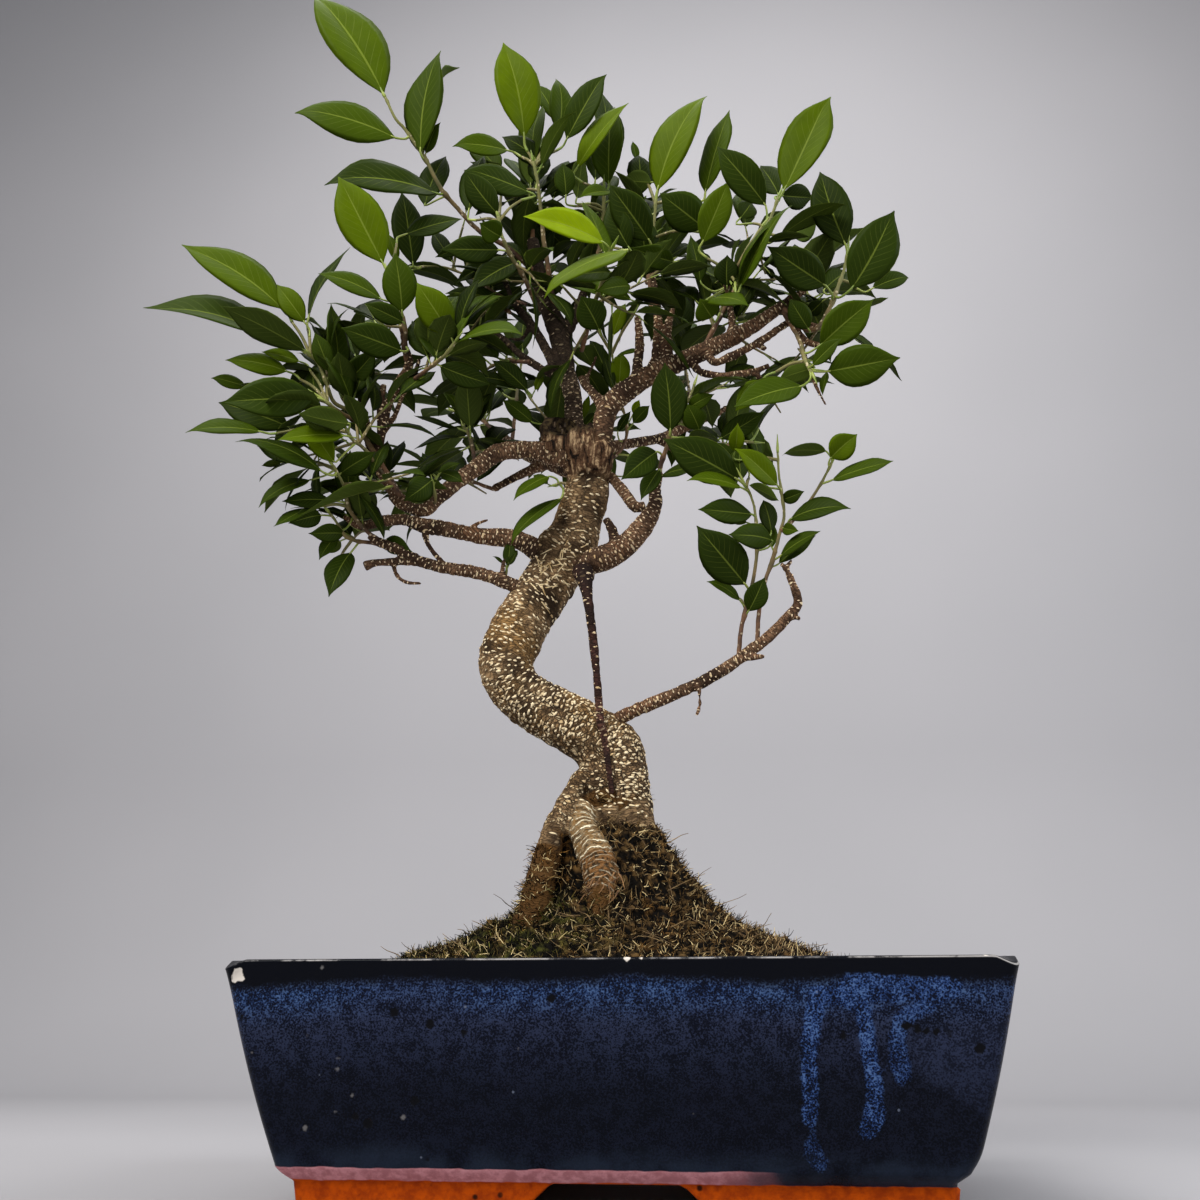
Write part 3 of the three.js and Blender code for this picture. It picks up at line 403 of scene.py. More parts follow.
def twigMaterial():
    material, where = newMaterial("twigBark")
    young = attribute("young")
    wood = mixed(span(grain(where, 130, 4), 0.35, 0.65), paint(66, 43, 29), paint(124, 88, 58))
    green = mixed(grain(where, 90, 3), paint(96, 104, 48), paint(132, 128, 70))
    colour = mixed(young, wood, green)
    dots = cells(where, 420)
    pick = axis(dots["Color"], "X")
    dot = span(dots["Distance"], 0.4, 0.25) * span(pick, 0.32, 0.26)
    colour = mixed(dot * 0.7, colour, paint(214, 196, 160))
    return finishMaterial(material, colour, 0.72, bump=(grain(where, 600, 3) + dot, 0.5, 0.0004))


mossPaint = {  # dark and light of each sort, then the painted shade in the gaps
    "green": (paint(20, 23, 8), paint(112, 112, 46)), "brown": (paint(28, 19, 9), paint(170, 132, 80)),
    "rust": (paint(56, 34, 13), paint(158, 110, 48)), "grey": (paint(52, 38, 24), paint(196, 160, 112)),
    "gap": paint(7, 5, 3), "tip": paint(236, 212, 156),
}


def mossMaterial(name, bright):
    material, where = newMaterial(name)
    x = axis(where, "X") - float(home[0])
    z = axis(where, "Z")
    drift = (grain(where, 36, 3) - 0.5) * 0.09
    tuft = span(grain(where, 250, 3), 0.34, 0.66)
    sort = {name: mixed(tuft, *mossPaint[name]) for name in ("green", "brown", "rust", "grey")}
    colour = mixed(span(x + drift, 0.045, 0.075), sort["brown"], sort["grey"])
    low = span(x + drift, 0.012, -0.05) * span(z + drift, 0.156, 0.128)
    low = low * span(grain(where, 90, 3), 0.36, 0.56)
    colour = mixed(low, colour, sort["green"])
    high = span(x + drift, -0.012, -0.03) * span(z + drift, 0.138, 0.152)
    spots = span(grain(where, 70, 3), 0.58, 0.68)
    colour = mixed(higher(high, spots * 0.7), colour, sort["rust"])
    shade = attribute("shade")
    # painted shade: low shade values, in the bed's hollows and on some curls, go to the gap colour
    colour = mixed(span(shade, 0.4, 0.88), mossPaint["gap"], colour)
    if bright:
        colour = mixed(span(shade, 0.8, 0.96) * 0.85, colour, mossPaint["tip"])
    else:
        # painted shade: the bed under the curls is darkened further towards the gap colour
        colour = mixed(0.72, colour, mossPaint["gap"])
    return finishMaterial(material, colour, 0.95, 0.1, bump=(grain(where, 500, 4), 0.8, 0.0008))


def plainGrain(name, low, high, scale, roughness, relief, metallic=0.0):
    material, where = newMaterial(name)
    colour = mixed(span(grain(where, scale, 4), 0.3, 0.7), low, high)
    bump = (grain(where, scale * 2.5, 3), relief, 0.0005)
    return finishMaterial(material, colour, roughness, metallic=metallic, bump=bump)


finish = {
    "glaze": glazeMaterial(),
    "bark": barkMaterial("trunkBark", bark["base"], bark["dark"], bark["warm"], 0.15),
    "limbBark": barkMaterial("limbBark", paint(134, 102, 76), paint(54, 38, 27), paint(124, 90, 64), 0.2),
    "paleBark": barkMaterial("leaderBark", paint(124, 104, 84), paint(48, 38, 30), paint(112, 90, 66), 0.2),
    "rootBark": barkMaterial("aerialRootBark", paint(72, 44, 36), paint(34, 22, 18), paint(104, 70, 58),
                             0.14),
    "creeper": plainGrain("creepingRoots", paint(176, 146, 96), paint(246, 226, 180), 180, 0.85, 0.4),
    "fleck": fleckMaterial("barkFleck", bark["tan"], bark["pale"]),
    "limbFleck": fleckMaterial("limbFleck", paint(170, 138, 104), paint(232, 206, 168)),
    "leaf": leafMaterial("leafTop", False),
    "leafUnder": leafMaterial("leafUnder", True),
    "stalk": stalkMaterial(),
    "twig": twigMaterial(),
    "moss": mossMaterial("mossBed", False),
    "mossBlade": mossMaterial("mossBlade", True),
    "soil": plainGrain("soilBed", paint(34, 26, 20), paint(72, 56, 42), 240, 0.95, 0.9),
    "grit": plainGrain("soilGrit", paint(52, 42, 34), paint(122, 104, 86), 150, 0.9, 0.6),
    "rust": plainGrain("rustyFibre", paint(70, 46, 28), paint(156, 114, 68), 160, 0.85, 0.5),
    "splinter": plainGrain("drySplinter", paint(52, 40, 28), paint(128, 104, 76), 160, 0.85, 0.5),
    "fibre": plainGrain("rootFibre", paint(84, 60, 32), paint(150, 124, 78), 220, 0.8, 0.5),
    "screen": plainGrain("screenPlastic", paint(24, 26, 25), paint(40, 43, 41), 300, 0.6, 0.3),
    "wire": plainGrain("annealedWire", paint(150, 146, 138), paint(190, 186, 178), 200, 0.4, 0.3, 1.0),
}
print("materials made")

# mesh helpers


def facesOutward(points, faces):  # the same faces, turned so that the closed shape's volume is positive
    volume = 0.0
    for size in {len(face) for face in faces}:
        block = np.array([face for face in faces if len(face) == size])
        first = points[block[:, 0]]
        for k in range(1, size - 1):
            volume += np.einsum("ij,ij->", first, np.cross(points[block[:, k]], points[block[:, k + 1]]))
    return faces if volume > 0 else [tuple(reversed(face)) for face in faces]


class Draft:  # gathers closed shapes, in mm, for one mesh
    def __init__(self, *valueNames, vectors=()):
        self.points, self.faces, self.slots, self.uvs = [], [], [], []
        self.values = {name: [] for name in valueNames}
        self.vectors = {name: [] for name in vectors}
        self.count = 0

    def add(self, points, faces, slot=0, uvs=None, closed=True, **values):
        points = np.asarray(points, float)
        self.points.append(points)
        if closed:
            faces = facesOutward(points, faces)
        self.faces.extend([[k + self.count for k in face] for face in faces])
        self.slots.extend([slot] * len(faces) if np.isscalar(slot) else slot)
        self.uvs.append(np.zeros((len(points), 2)) if uvs is None else np.asarray(uvs, float))
        for name, store in self.values.items():
            store.append(np.broadcast_to(np.asarray(values.get(name, 0.0), float), (len(points),)))
        for name, store in self.vectors.items():
            store.append(np.broadcast_to(np.asarray(values.get(name, (0, 0, 0)), float), (len(points), 3)))
        self.count += len(points)

    def mesh(self, name, uvName=None):
        mesh = bpy.data.meshes.new(name)
        mesh.from_pydata(inFrame(np.concatenate(self.points)).tolist(), [], self.faces)
        mesh.polygons.foreach_set("material_index", self.slots)
        mesh.polygons.foreach_set("use_smooth", [True] * len(self.faces))
        for key, store in self.values.items():
            mesh.attributes.new(key, "FLOAT", "POINT").data.foreach_set("value", np.concatenate(store))
        for key, store in self.vectors.items():
            layer = mesh.attributes.new(key, "FLOAT_VECTOR", "POINT")
            layer.data.foreach_set("vector", np.concatenate(store).ravel())
        if uvName:
            corner = np.empty(len(mesh.loops), dtype=np.int32)
            mesh.loops.foreach_get("vertex_index", corner)
            layer = mesh.uv_layers.new(name=uvName)
            layer.data.foreach_set("uv", np.concatenate(self.uvs)[corner].ravel())
        mesh.update()
        return mesh


def newPiece(name, mesh, *materials):
    piece = bpy.data.objects.new(name, mesh)
    bpy.context.scene.collection.objects.link(piece)
    for material in materials:
        mesh.materials.append(material)
    return piece


def freeze(piece):  # the evaluated shape becomes the piece's plain mesh
    scene = bpy.context.evaluated_depsgraph_get()
    mesh = bpy.data.meshes.new_from_object(piece.evaluated_get(scene), preserve_all_data_layers=True,
                                           depsgraph=scene)
    piece.modifiers.clear()
    piece.data = mesh
    return mesh


def settle(piece, slotName, *nodes):
    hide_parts(*nodes)
    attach(piece, "root")


def unit(v):
    return v / max(np.linalg.norm(v), 1e-9)


def smoothRoute(route, steps):
    # a centripetal curve through the route's points, in even steps; further columns run along with it
    route = np.asarray(route, float)
    place = route[:, :3]
    ends = np.vstack([2 * place[0] - place[1], place, 2 * place[-1] - place[-2]])
    fine, parts = [], 24
    share = np.linspace(0, 1, parts, endpoint=False)[:, None]
    for i in range(1, len(ends) - 2):
        a, b, c, d = ends[i - 1:i + 3]
        ab, bc, cd = [max(np.linalg.norm(q - p) ** 0.5, 1e-6) for p, q in ((a, b), (b, c), (c, d))]
        leave = ((b - a) / ab - (c - a) / (ab + bc) + (c - b) / bc) * bc
        arrive = ((c - b) / bc - (d - b) / (bc + cd) + (d - c) / cd) * bc
        s = share
        fine.append((2 * s**3 - 3 * s**2 + 1) * b + (s**3 - 2 * s**2 + s) * leave
                    + (3 * s**2 - 2 * s**3) * c + (s**3 - s**2) * arrive)
    fine = np.vstack(fine + [place[-1:]])
    length = np.concatenate([[0], np.cumsum(np.linalg.norm(np.diff(fine, axis=0), axis=1))])
    marks = length[::parts]
    even = np.linspace(0, length[-1], steps + 1)
    columns = [np.interp(even, length, fine[:, k]) for k in range(3)]
    columns += [np.interp(even, marks, route[:, k]) for k in range(3, route.shape[1])]
    return np.stack(columns, axis=1)


def ringFrames(path):
    # a tangent and two sideways directions at each point of a path, turning as little as they can
    ahead = np.gradient(path[:, :3], axis=0)
    ahead /= np.linalg.norm(ahead, axis=1)[:, None]
    side = np.cross(ahead[0], (0.31, 0.2, 0.93) if abs(ahead[0][2]) < 0.9 else (0.95, 0.3, 0))
    sides = []
    for t in ahead:
        side = unit(side - t * np.dot(side, t))
        sides.append(side)
    sides = np.array(sides)
    return ahead, sides, np.cross(ahead, sides)


def tubeAlong(path, sides):
    # a capped tube; the path's fourth column is its radius
    ahead, sideA, sideB = ringFrames(path)
    angle = np.linspace(0, 2 * pi, sides, endpoint=False)[None, :, None]
    around = np.cos(angle) * sideA[:, None, :] + np.sin(angle) * sideB[:, None, :]
    points = (path[:, None, :3] + around * path[:, 3, None, None]).reshape(-1, 3)
    return points, ringFaces(len(path), sides)


def ringFaces(rings, count):  # the sides and both caps of a stack of rings
    faces = []
    for i in range(rings - 1):
        for k in range(count):
            a, b = i * count + k, i * count + (k + 1) % count
            faces.append((a, b, b + count, a + count))
    return faces + [tuple(reversed(range(count))), tuple(range((rings - 1) * count, rings * count))]


def addTube(draft, spots, steps, sides, **values):  # a tube through pairs of a place and a radius
    route = smoothRoute([(*place, radius) for place, radius in spots], steps)
    draft.add(*tubeAlong(route, sides), **values)
    return route


# stage: floor, backdrop and light

lamps = (
    # name, place, aim, size in metres, watts, tint
    ("window", (-650, -1100, 1450), (-20, 0, 330), 1.1, 38, (1.0, 0.985, 0.96)),
    ("sideWindow", (1350, -300, 900), (0, 0, 330), 0.9, 15, (0.95, 0.98, 1.0)),
    ("lowFill", (100, -1300, 260), (0, 0, 200), 0.9, 2.5, (1.0, 1.0, 1.0)),
    ("wallWash", (0, 300, 1700), (0, 1250, 600), 1.2, 16, (1.0, 0.99, 0.98)),
)
sky = {"tint": paint(214, 217, 224), "strength": 0.3}
stage = {"floor": paint(174, 172, 175), "shade": paint(160, 159, 162), "front": -1400, "turn": 900,
         "radius": 500, "top": 2200, "half": 2600}


def makeStage():
    profile = [(stage["front"], 0.0)]
    for k in range(17):
        angle = k / 16 * pi / 2
        profile.append((stage["turn"] + stage["radius"] * sin(angle),
                        stage["radius"] * (1 - cos(angle))))
    profile.append((stage["turn"] + stage["radius"], stage["top"]))
    points = [(side * stage["half"], y, z) for y, z in profile for side in (-1, 1)]
    faces = [(2 * i, 2 * i + 1, 2 * i + 3, 2 * i + 2) for i in range(len(profile) - 1)]
    draft = Draft()
    draft.add(points, faces, closed=False)
    material, where = newMaterial("stagePaper")
    tint = mixed(grain(where, 1.6, 2), stage["shade"], stage["floor"])
    newPiece("floor", draft.mesh("floor"), finishMaterial(material, tint, 0.9, 0.1))


def addLight(name, place, aim, size, power, tint=(1, 1, 1)):
    data = bpy.data.lights.new(name, "AREA")
    data.shape = "SQUARE"
    data.size = size
    data.energy = power
    data.color = tint
    lamp = bpy.data.objects.new(name, data)
    lamp.location = inFrame(place)
    lamp.rotation_euler = (Vector(inFrame(aim)) - lamp.location).to_track_quat("-Z", "Y").to_euler()
    bpy.context.scene.collection.objects.link(lamp)


def makeLight():
    for lamp in lamps:
        addLight(*lamp)
    world = bpy.data.worlds.new("room")
    world.use_nodes = True
    background = world.node_tree.nodes["Background"]
    background.inputs["Color"].default_value = sky["tint"]
    background.inputs["Strength"].default_value = sky["strength"]
    bpy.context.scene.world = world
    bpy.context.scene.view_settings.view_transform = "Standard"


makeStage()
makeLight()
print("stage and light set")

# pot

pot = {
    "half": (168.0, 122.5), "height": 104.0, "wall": 9.0, "floor": 9.0, "underside": 14.0,
    "flare": (20.0, 23.7), "lowerEdge": 20.0, "footInset": 6.5, "footLean": 2.0, "footWall": 14.0,
    "corner": 5.5, "innerCorner": 4.0, "cutTop": 55.0, "cutFoot": 86.0,
    "drainRadius": 10.0, "drainX": 70.0, "belly": 1.2, "rimDrop": 5.0, "rimRadius": 1.4,
    "wallSteps": 38, "perSide": (160, 118), "unevenness": 0.5, "endSlack": 4.5,
}


def potInset(z, extra):  # how far a level lies inside the rim's outline, in x and in y
    share = (pot["height"] - z) / (pot["height"] - pot["lowerEdge"])
    belly = pot["belly"] * 4 * share * (1 - share)
    return np.array(pot["flare"]) * share - (belly if 0 < share < 1 else 0) + extra


def ringAt(z, inset, corner, perSide, perCorner=7):
    half = np.array(pot["half"]) - inset - corner
    arcs = []
    for quarter, signs in enumerate(((1, 1), (-1, 1), (-1, -1), (1, -1))):
        angle = (quarter + np.arange(perCorner + 1) / perCorner) * pi / 2
        arcs.append(signs * half + corner * np.column_stack([np.cos(angle), np.sin(angle)]))
    ring = []
    for quarter, arc in enumerate(arcs):
        share = np.arange(1, perSide[quarter % 2])[:, None] / perSide[quarter % 2]
        ring += [arc, arc[-1] + (arcs[(quarter + 1) % 4][0] - arc[-1]) * share]
    ring = np.vstack(ring)
    return np.column_stack([ring, np.full(len(ring), z)])


def potLevels():
    # from the underside's edge, down the foot's inside, up the outside, over the rim and down inside
    wall, corner, inner = pot["wall"], pot["corner"], pot["innerCorner"]
    foot = potInset(pot["lowerEdge"], pot["footInset"])
    deep = foot + pot["footWall"]
    levels = [(pot["underside"], deep + 2, inner), (pot["underside"], deep, inner)]
    levels += [(z, deep, inner) for z in (12, 6, 1.2, 0.3)]
    levels += [(0.0, deep - 1.0, inner), (0.0, foot + pot["footLean"] + 1.0, inner)]
    for z in (0.5, 1.4, 5, 8, 11, 13):
        levels.append((z, foot + pot["footLean"] * (1 - z / pot["underside"]), inner + 1))
    levels += [(13.7, foot - 0.4, inner + 1), (14.4, foot - 1.4, inner + 1), (15.6, foot - 2.9, inner + 1)]
    levels += [(17.0, foot - 4.4, inner + 1), (18.4, foot - 5.7, corner), (19.4, foot - 6.4, corner)]
    levels += [(20.6, potInset(20.6, 0.0), corner)]
    low, high, steps = 20.6, pot["height"] - 1.6, pot["wallSteps"]
    for z in [low + (high - low) * k / steps for k in range(1, steps + 1)]:
        levels.append((z, potInset(z, 0), corner))
    radius = pot["rimRadius"]
    for k in range(1, 6):
        angle = k / 5 * pi / 2
        levels.append((pot["height"] - radius + radius * sin(angle),
                       radius * (1 - cos(angle)) + 0.1, corner))
    levels += [(pot["height"], wall / 2, corner - 1), (pot["height"], wall - radius, corner - 2)]
    for k in range(1, 5):
        angle = k / 4 * pi / 2
        levels.append((pot["height"] - radius + radius * cos(angle),
                       wall - radius + radius * sin(angle), inner + 1))
    floor = pot["underside"] + pot["floor"]
    levels += [(z, potInset(z, wall), inner) for z in (98, 92, 80, 60, 40, floor + 2)]
    levels += [(floor, potInset(floor, wall + 2), inner)]
    return levels


def nearestTo(points, path, radius):  # distance in mm from a path, less its own radius there
    path = np.asarray(path, float)
    best = np.full(len(points), 1e3)
    for (a, b), (ra, rb) in zip(zip(path[:-1], path[1:]), zip(radius[:-1], radius[1:])):
        axis = b - a
        share = np.clip((points - a) @ axis / max(axis @ axis, 1e-9), 0, 1)
        reach = np.linalg.norm(points - (a + share[:, None] * axis), axis=1) - (ra + (rb - ra) * share)
        best = np.minimum(best, reach)
    return best


# runs in the glaze on the front wall, as x, z and half width; then on the other walls by chance
runs = [
    ([(86, 88, 3.6), (82, 70, 3.3), (81.5, 59, 3.1), (81.5, 48, 3.0), (81, 40, 2.6)], 1.0),
    ([(81.5, 34, 1.2), (81.5, 29, 3.6), (84, 23, 3.4)], 0.6),
    ([(104.5, 82, 3.3), (105.5, 70, 3.0), (107, 59, 3.1), (107.5, 48, 3.3), (107, 42, 4.2),
      (104, 36, 3.4)], 1.0),
    ([(86, 89, 3.0), (95, 88, 3.2), (104, 83, 3.2)], 1.0),
    ([(100, 92, 5.0), (120, 91, 5.0), (140, 91, 4.0)], 0.9),
    ([(140, 91, 3.2), (130, 85, 3.0), (120, 79, 3.0), (117, 72, 3.2), (118, 62, 4.0), (119, 57, 3.4)], 0.75),
]
hazyCorner = [(121, 74), (164, 80), (152, 42), (126, 56)]
pits = [(-24.5, 87.6, 2.0), (-92, 82, 1.9), (-76.6, 77.4, 2.0), (-61.8, 73.7, 1.6), (-159.5, 80, 1.4),
        (-84, 46.7, 1.9), (-110, 40, 1.6), (-104.5, 37.4, 2.1), (-79.5, 23.6, 1.2), (-40, 66.7, 0.9),
        (-138, 67, 1.0), (150, 68, 2.2), (121, 76.5, 1.9), (125, 75.5, 1.7), (129, 74.8, 1.6),
        (133, 74.2, 1.5), (138, 73.4, 1.5), (96, 73, 1.6), (78, 47, 1.3), (79, 37, 1.0), (20, 61, 0.8),
        (55, 44, 0.7)]
greys = [(-130, 73.3, 1.1), (-116.7, 63.5, 0.9), (-117.4, 59, 1.3), (-111, 48.7, 0.9), (-89, 40.1, 1.3),
         (-132, 35.4, 1.4), (-123.3, 100.4, 1.0), (-118.4, 42, 0.8), (-155, 65.6, 0.9), (-39, 67.3, 0.9),
         (34, 42, 0.9), (96, 60, 0.6)]
chips = [((-160.8, -121.4, 98.4), 2.2), ((-159.2, -121.6, 96.4), 1.9), ((-162.2, -120.6, 95.6), 1.5),
         ((-161.5, -121, 100), 1.1), ((157, -121, 103.6), 0.9), ((162.5, -120, 101.6), 0.8),
         ((154, -121.6, 104), 0.8), ((8, -122.4, 103.6), 1.5), ((14, -122.5, 103.8), 0.9),
         ((-148, 120, 103.6), 1.8)]


def makePot():
    levels = potLevels()
    rings = [ringAt(z, inset, corner, pot["perSide"]) for z, inset, corner in levels]
    points = np.vstack(rings)
    faces = ringFaces(len(rings), len(rings[0]))
    z = points[:, 2]
    ringNumber = np.repeat(np.arange(len(rings)), len(rings[0]))
    rimStart = next(i for i, level in enumerate(levels) if level[0] >= pot["height"] - 0.01)
    outer = (ringNumber <= rimStart) & (z > 15)
    # the walls are a little uneven, as a pressed pot's are
    wave = np.array([noise.noise(Vector(p) * 0.016) for p in points])
    outward = points[:, :2] / np.maximum(np.linalg.norm(points[:, :2], axis=1), 1)[:, None]
    points[:, :2] += outward * (wave * pot["unevenness"])[:, None]
    # the right end's foot edge is rounder than the left one's
    low = np.clip((30 - z) / 14, 0, 1) ** 2
    slack = np.clip((points[:, 0] - 100) / 45, 0, 1) ** 2 * low * np.clip((z - 13) / 2, 0, 1)
    points[:, 0] -= pot["endSlack"] * slack
    # the rim falls away at its corners
    near = [np.clip((np.abs(points[:, i]) - pot["half"][i] + 10) / 10, 0, 1) for i in (0, 1)]
    points[:, 2] -= pot["rimDrop"] * near[0] * near[1] * np.clip((z - 88) / 16, 0, 1)
    onFront = outer & (points[:, 1] < -85)
    flat = points[:, [0, 2]]
    run, strength = np.full(len(points), 50.0), np.ones(len(points))
    for path, power in runs:
        reach = nearestTo(flat, [p[:2] for p in path], [p[2] for p in path])
        nearer = onFront & (reach < run)
        run[nearer] = reach[nearer]
        strength[nearer] = power
    chance = random.Random(5)
    walls = []  # the back, right and left ones: who is on it, its half length, and places on it
    for wallAxis, sign in ((1, 1), (0, 1), (0, -1)):
        onWall = outer & (points[:, wallAxis] * sign > pot["half"][wallAxis] - 34)
        walls.append((onWall, pot["half"][1 - wallAxis], points[:, [1 - wallAxis, 2]]))
    for onWall, half, flatHere in walls:
        for k in range(3):
            start = chance.uniform(-0.7, 0.7) * half
            foot = chance.uniform(35, 68)
            path = [(start, 92), (start + chance.uniform(-3, 3), (92 + foot) / 2),
                    (start + chance.uniform(-4, 4), foot)]
            reach = nearestTo(flatHere, path, [3.8, 3.0, 3.4])
            nearer = onWall & (reach < run)
            run[nearer] = reach[nearer]
            strength[nearer] = 0.8
    corner = np.asarray(hazyCorner, float)
    veil = np.full(len(points), -50.0)
    for a, b in zip(corner, np.roll(corner, -1, axis=0)):
        edge = unit(b - a)
        normal = np.array([-edge[1], edge[0]])
        inward = np.sign((corner.mean(axis=0) - a) @ normal)
        veil = np.maximum(veil, -inward * ((flat - a) @ normal))
    veil[~onFront] = 50.0
    pit, grey = np.full((2, len(points)), 20.0)
    for marks, store in ((pits, pit), (greys, grey)):
        for x, height, radius in marks:
            away = np.hypot(flat[:, 0] - x, flat[:, 1] - height) - radius
            store[onFront] = np.minimum(store, away)[onFront]
    for onWall, half, flatHere in walls:
        for k in range(9):
            spot = chance.uniform(-0.8, 0.8) * half, chance.uniform(28, 92)
            reach = np.linalg.norm(flatHere - spot, axis=1) - chance.uniform(0.8, 1.8)
            pit = np.where(onWall, np.minimum(pit, reach), pit)
    chip = np.full(len(points), 20.0)
    for place, radius in chips:
        chip = np.minimum(chip, np.linalg.norm(points - np.array(place), axis=1) - radius)
    rim = np.abs(ringNumber - (rimStart - 3)) * 0.8
    rim[ringNumber < rimStart - 6] = 9
    inside = (ringNumber > rimStart + 9).astype(float)
    # runs stand a little proud of the wall, pits and chips are sunk into it
    proud = 0.35 * np.clip(-run / 1.5, 0, 1) * strength
    sunk = 0.5 * np.clip(-pit / 0.8 + 0.4, 0, 1) * outer + 1.0 * np.clip(-chip / 1.2 + 0.3, 0, 1)
    wallward = np.zeros_like(points)
    frontish = np.abs(points[:, 1]) / pot["half"][1] > np.abs(points[:, 0]) / pot["half"][0]
    wallward[:, 1] = np.where(frontish, np.sign(points[:, 1]), 0)
    wallward[:, 0] = np.where(frontish, 0, np.sign(points[:, 0]))
    points += wallward * (proud * outer - sunk)[:, None]
    draft = Draft("run", "strength", "veil", "pit", "grey", "chip", "rim", "inside")
    draft.add(points, faces, run=run, strength=strength, veil=veil, pit=pit, grey=grey, chip=chip, rim=rim,
              inside=inside)
    piece = newPiece("pot_body", draft.mesh("pot_body"), finish["glaze"])
    cutPot(piece)
    settle(piece, "glazed_stoneware", "pot")


def cutPot(piece):
    # the foot's trapezoid gaps and the drainage holes
    cutter = Draft()
    high, low = pot["cutTop"] / 2, pot["cutFoot"] / 2
    top = pot["underside"] - 0.3
    for turned in (False, True):
        outline = [(-low, -2), (low, -2), (low, 0.0), (high + 2, top - 1.5), (high - 1, top),
                   (-high + 1, top), (-high - 2, top - 1.5), (-low, 0.0)]
        ends = []
        for reach in (-170.0, 170.0):
            ends += [(reach, u, v) if turned else (u, reach, v) for u, v in outline]
        n = len(outline)
        sides = [(k, (k + 1) % n, (k + 1) % n + n, k + n) for k in range(n)]
        caps = [tuple(reversed(range(n))), tuple(range(n, 2 * n))]
        faces = sides + caps
        cutter.add(ends, [tuple(reversed(f)) for f in faces] if not turned else faces)
    for side in (-1, 1):
        path = np.array([[side * pot["drainX"], 0, z, pot["drainRadius"]] for z in (8.0, 18.0, 30.0)])
        cutter.add(*tubeAlong(path, 40))
    tool = newPiece("cutter", cutter.mesh("cutter"))
    flesh = bmesh.new()
    flesh.from_mesh(tool.data)
    bmesh.ops.recalc_face_normals(flesh, faces=flesh.faces)
    flesh.to_mesh(tool.data)
    flesh.free()
    cut = piece.modifiers.new("cut", "BOOLEAN")
    cut.operation = "DIFFERENCE"
    cut.object = tool
    cut.solver = "EXACT"
    cut.use_self = True
    freeze(piece)
    bpy.data.objects.remove(tool)


makePot()
print("pot made")


# growth trees: what repeats over a surface


def newGrowth(name, *sizes):
    tree = bpy.data.node_groups.new(name, "GeometryNodeTree")
    others = {"Geometry": "Geometry", "Keep": "Bool", "Seed": "Int", "Material": "Material"}
    for label in ("Geometry", "Keep", *sizes, "Seed", "Material"):
        kind = "NodeSocket" + others.get(label, "Float")
        tree.interface.new_socket(label, in_out="INPUT", socket_type=kind)
    tree.interface.new_socket("Geometry", in_out="OUTPUT", socket_type="NodeSocketGeometry")
    bench["tree"] = tree
    return tree, put("NodeGroupInput")


def named(name, kind="FLOAT"):
    return put("GeometryNodeInputNamedAttribute", {"Name": name}, data_type=kind)["Attribute"]


def chanceValue(low, high, seed):
    kind = "FLOAT_VECTOR" if isinstance(low, tuple) else "FLOAT"
    node = put("FunctionNodeRandomValue", {"Seed": seed}, data_type=kind).node
    ends = [s for s in node.inputs if s.enabled and s.name in ("Min", "Max")]
    for socket, value in zip(ends, (low, high)):
        feed(socket, value)
    return Wire(next(s for s in node.outputs if s.enabled))


def grow(piece, tree, keep=True, **values):
    values["Keep"] = keep
    modifier = piece.modifiers.new(tree.name, "NODES")
    modifier.node_group = tree
    for item in tree.interface.items_tree:
        if item.in_out == "INPUT" and item.name in values:
            modifier[item.identifier] = values[item.name]
    freeze(piece)


def growApart(piece, name, tree, **values):  # as a piece of its own
    other = newPiece(name, piece.data.copy())
    grow(other, tree, keep=False, **values)
    return other


def scattered(start, method, ends):
    ends = {"Mesh": start["Geometry"], "Seed": start["Seed"], **ends}
    return put("GeometryNodeDistributePointsOnFaces", ends, distribute_method=method)


def scaled(low, high, seed, size):
    ends = {0: chanceValue(low, high, seed), "Scale": size}
    return put("ShaderNodeVectorMath", ends, operation="SCALE")[0]


def aligned(rotation, vector, axis, **settings):
    ends = {"Rotation": rotation, "Vector": vector}
    return put("FunctionNodeAlignRotationToVector", ends, axis=axis, **settings)[0]


def turnedBy(low, high, seed):
    return put("FunctionNodeEulerToRotation", {"Euler": chanceValue(low, high, seed)})[0]


def placedOn(spread, shape, turned, size):
    ends = {"Points": spread["Points"], "Instance": shape, "Rotation": turned, "Scale": size}
    return put("GeometryNodeInstanceOnPoints", ends)[0]


def finishGrowth(tree, start, grown):  # makes the instances real, with what they grow on if Keep is set
    real = put("GeometryNodeRealizeInstances", {"Geometry": grown})[0]
    dressed = put("GeometryNodeSetMaterial", {"Geometry": real, "Material": start["Material"]})[0]
    base = put("GeometryNodeSwitch", {"Switch": start["Keep"], "True": start["Geometry"]},
               input_type="GEOMETRY")
    both = put("GeometryNodeJoinGeometry", {0: dressed})
    feed(both.node.inputs[0], base[0])
    put("NodeGroupOutput", {0: both[0]})
    return tree


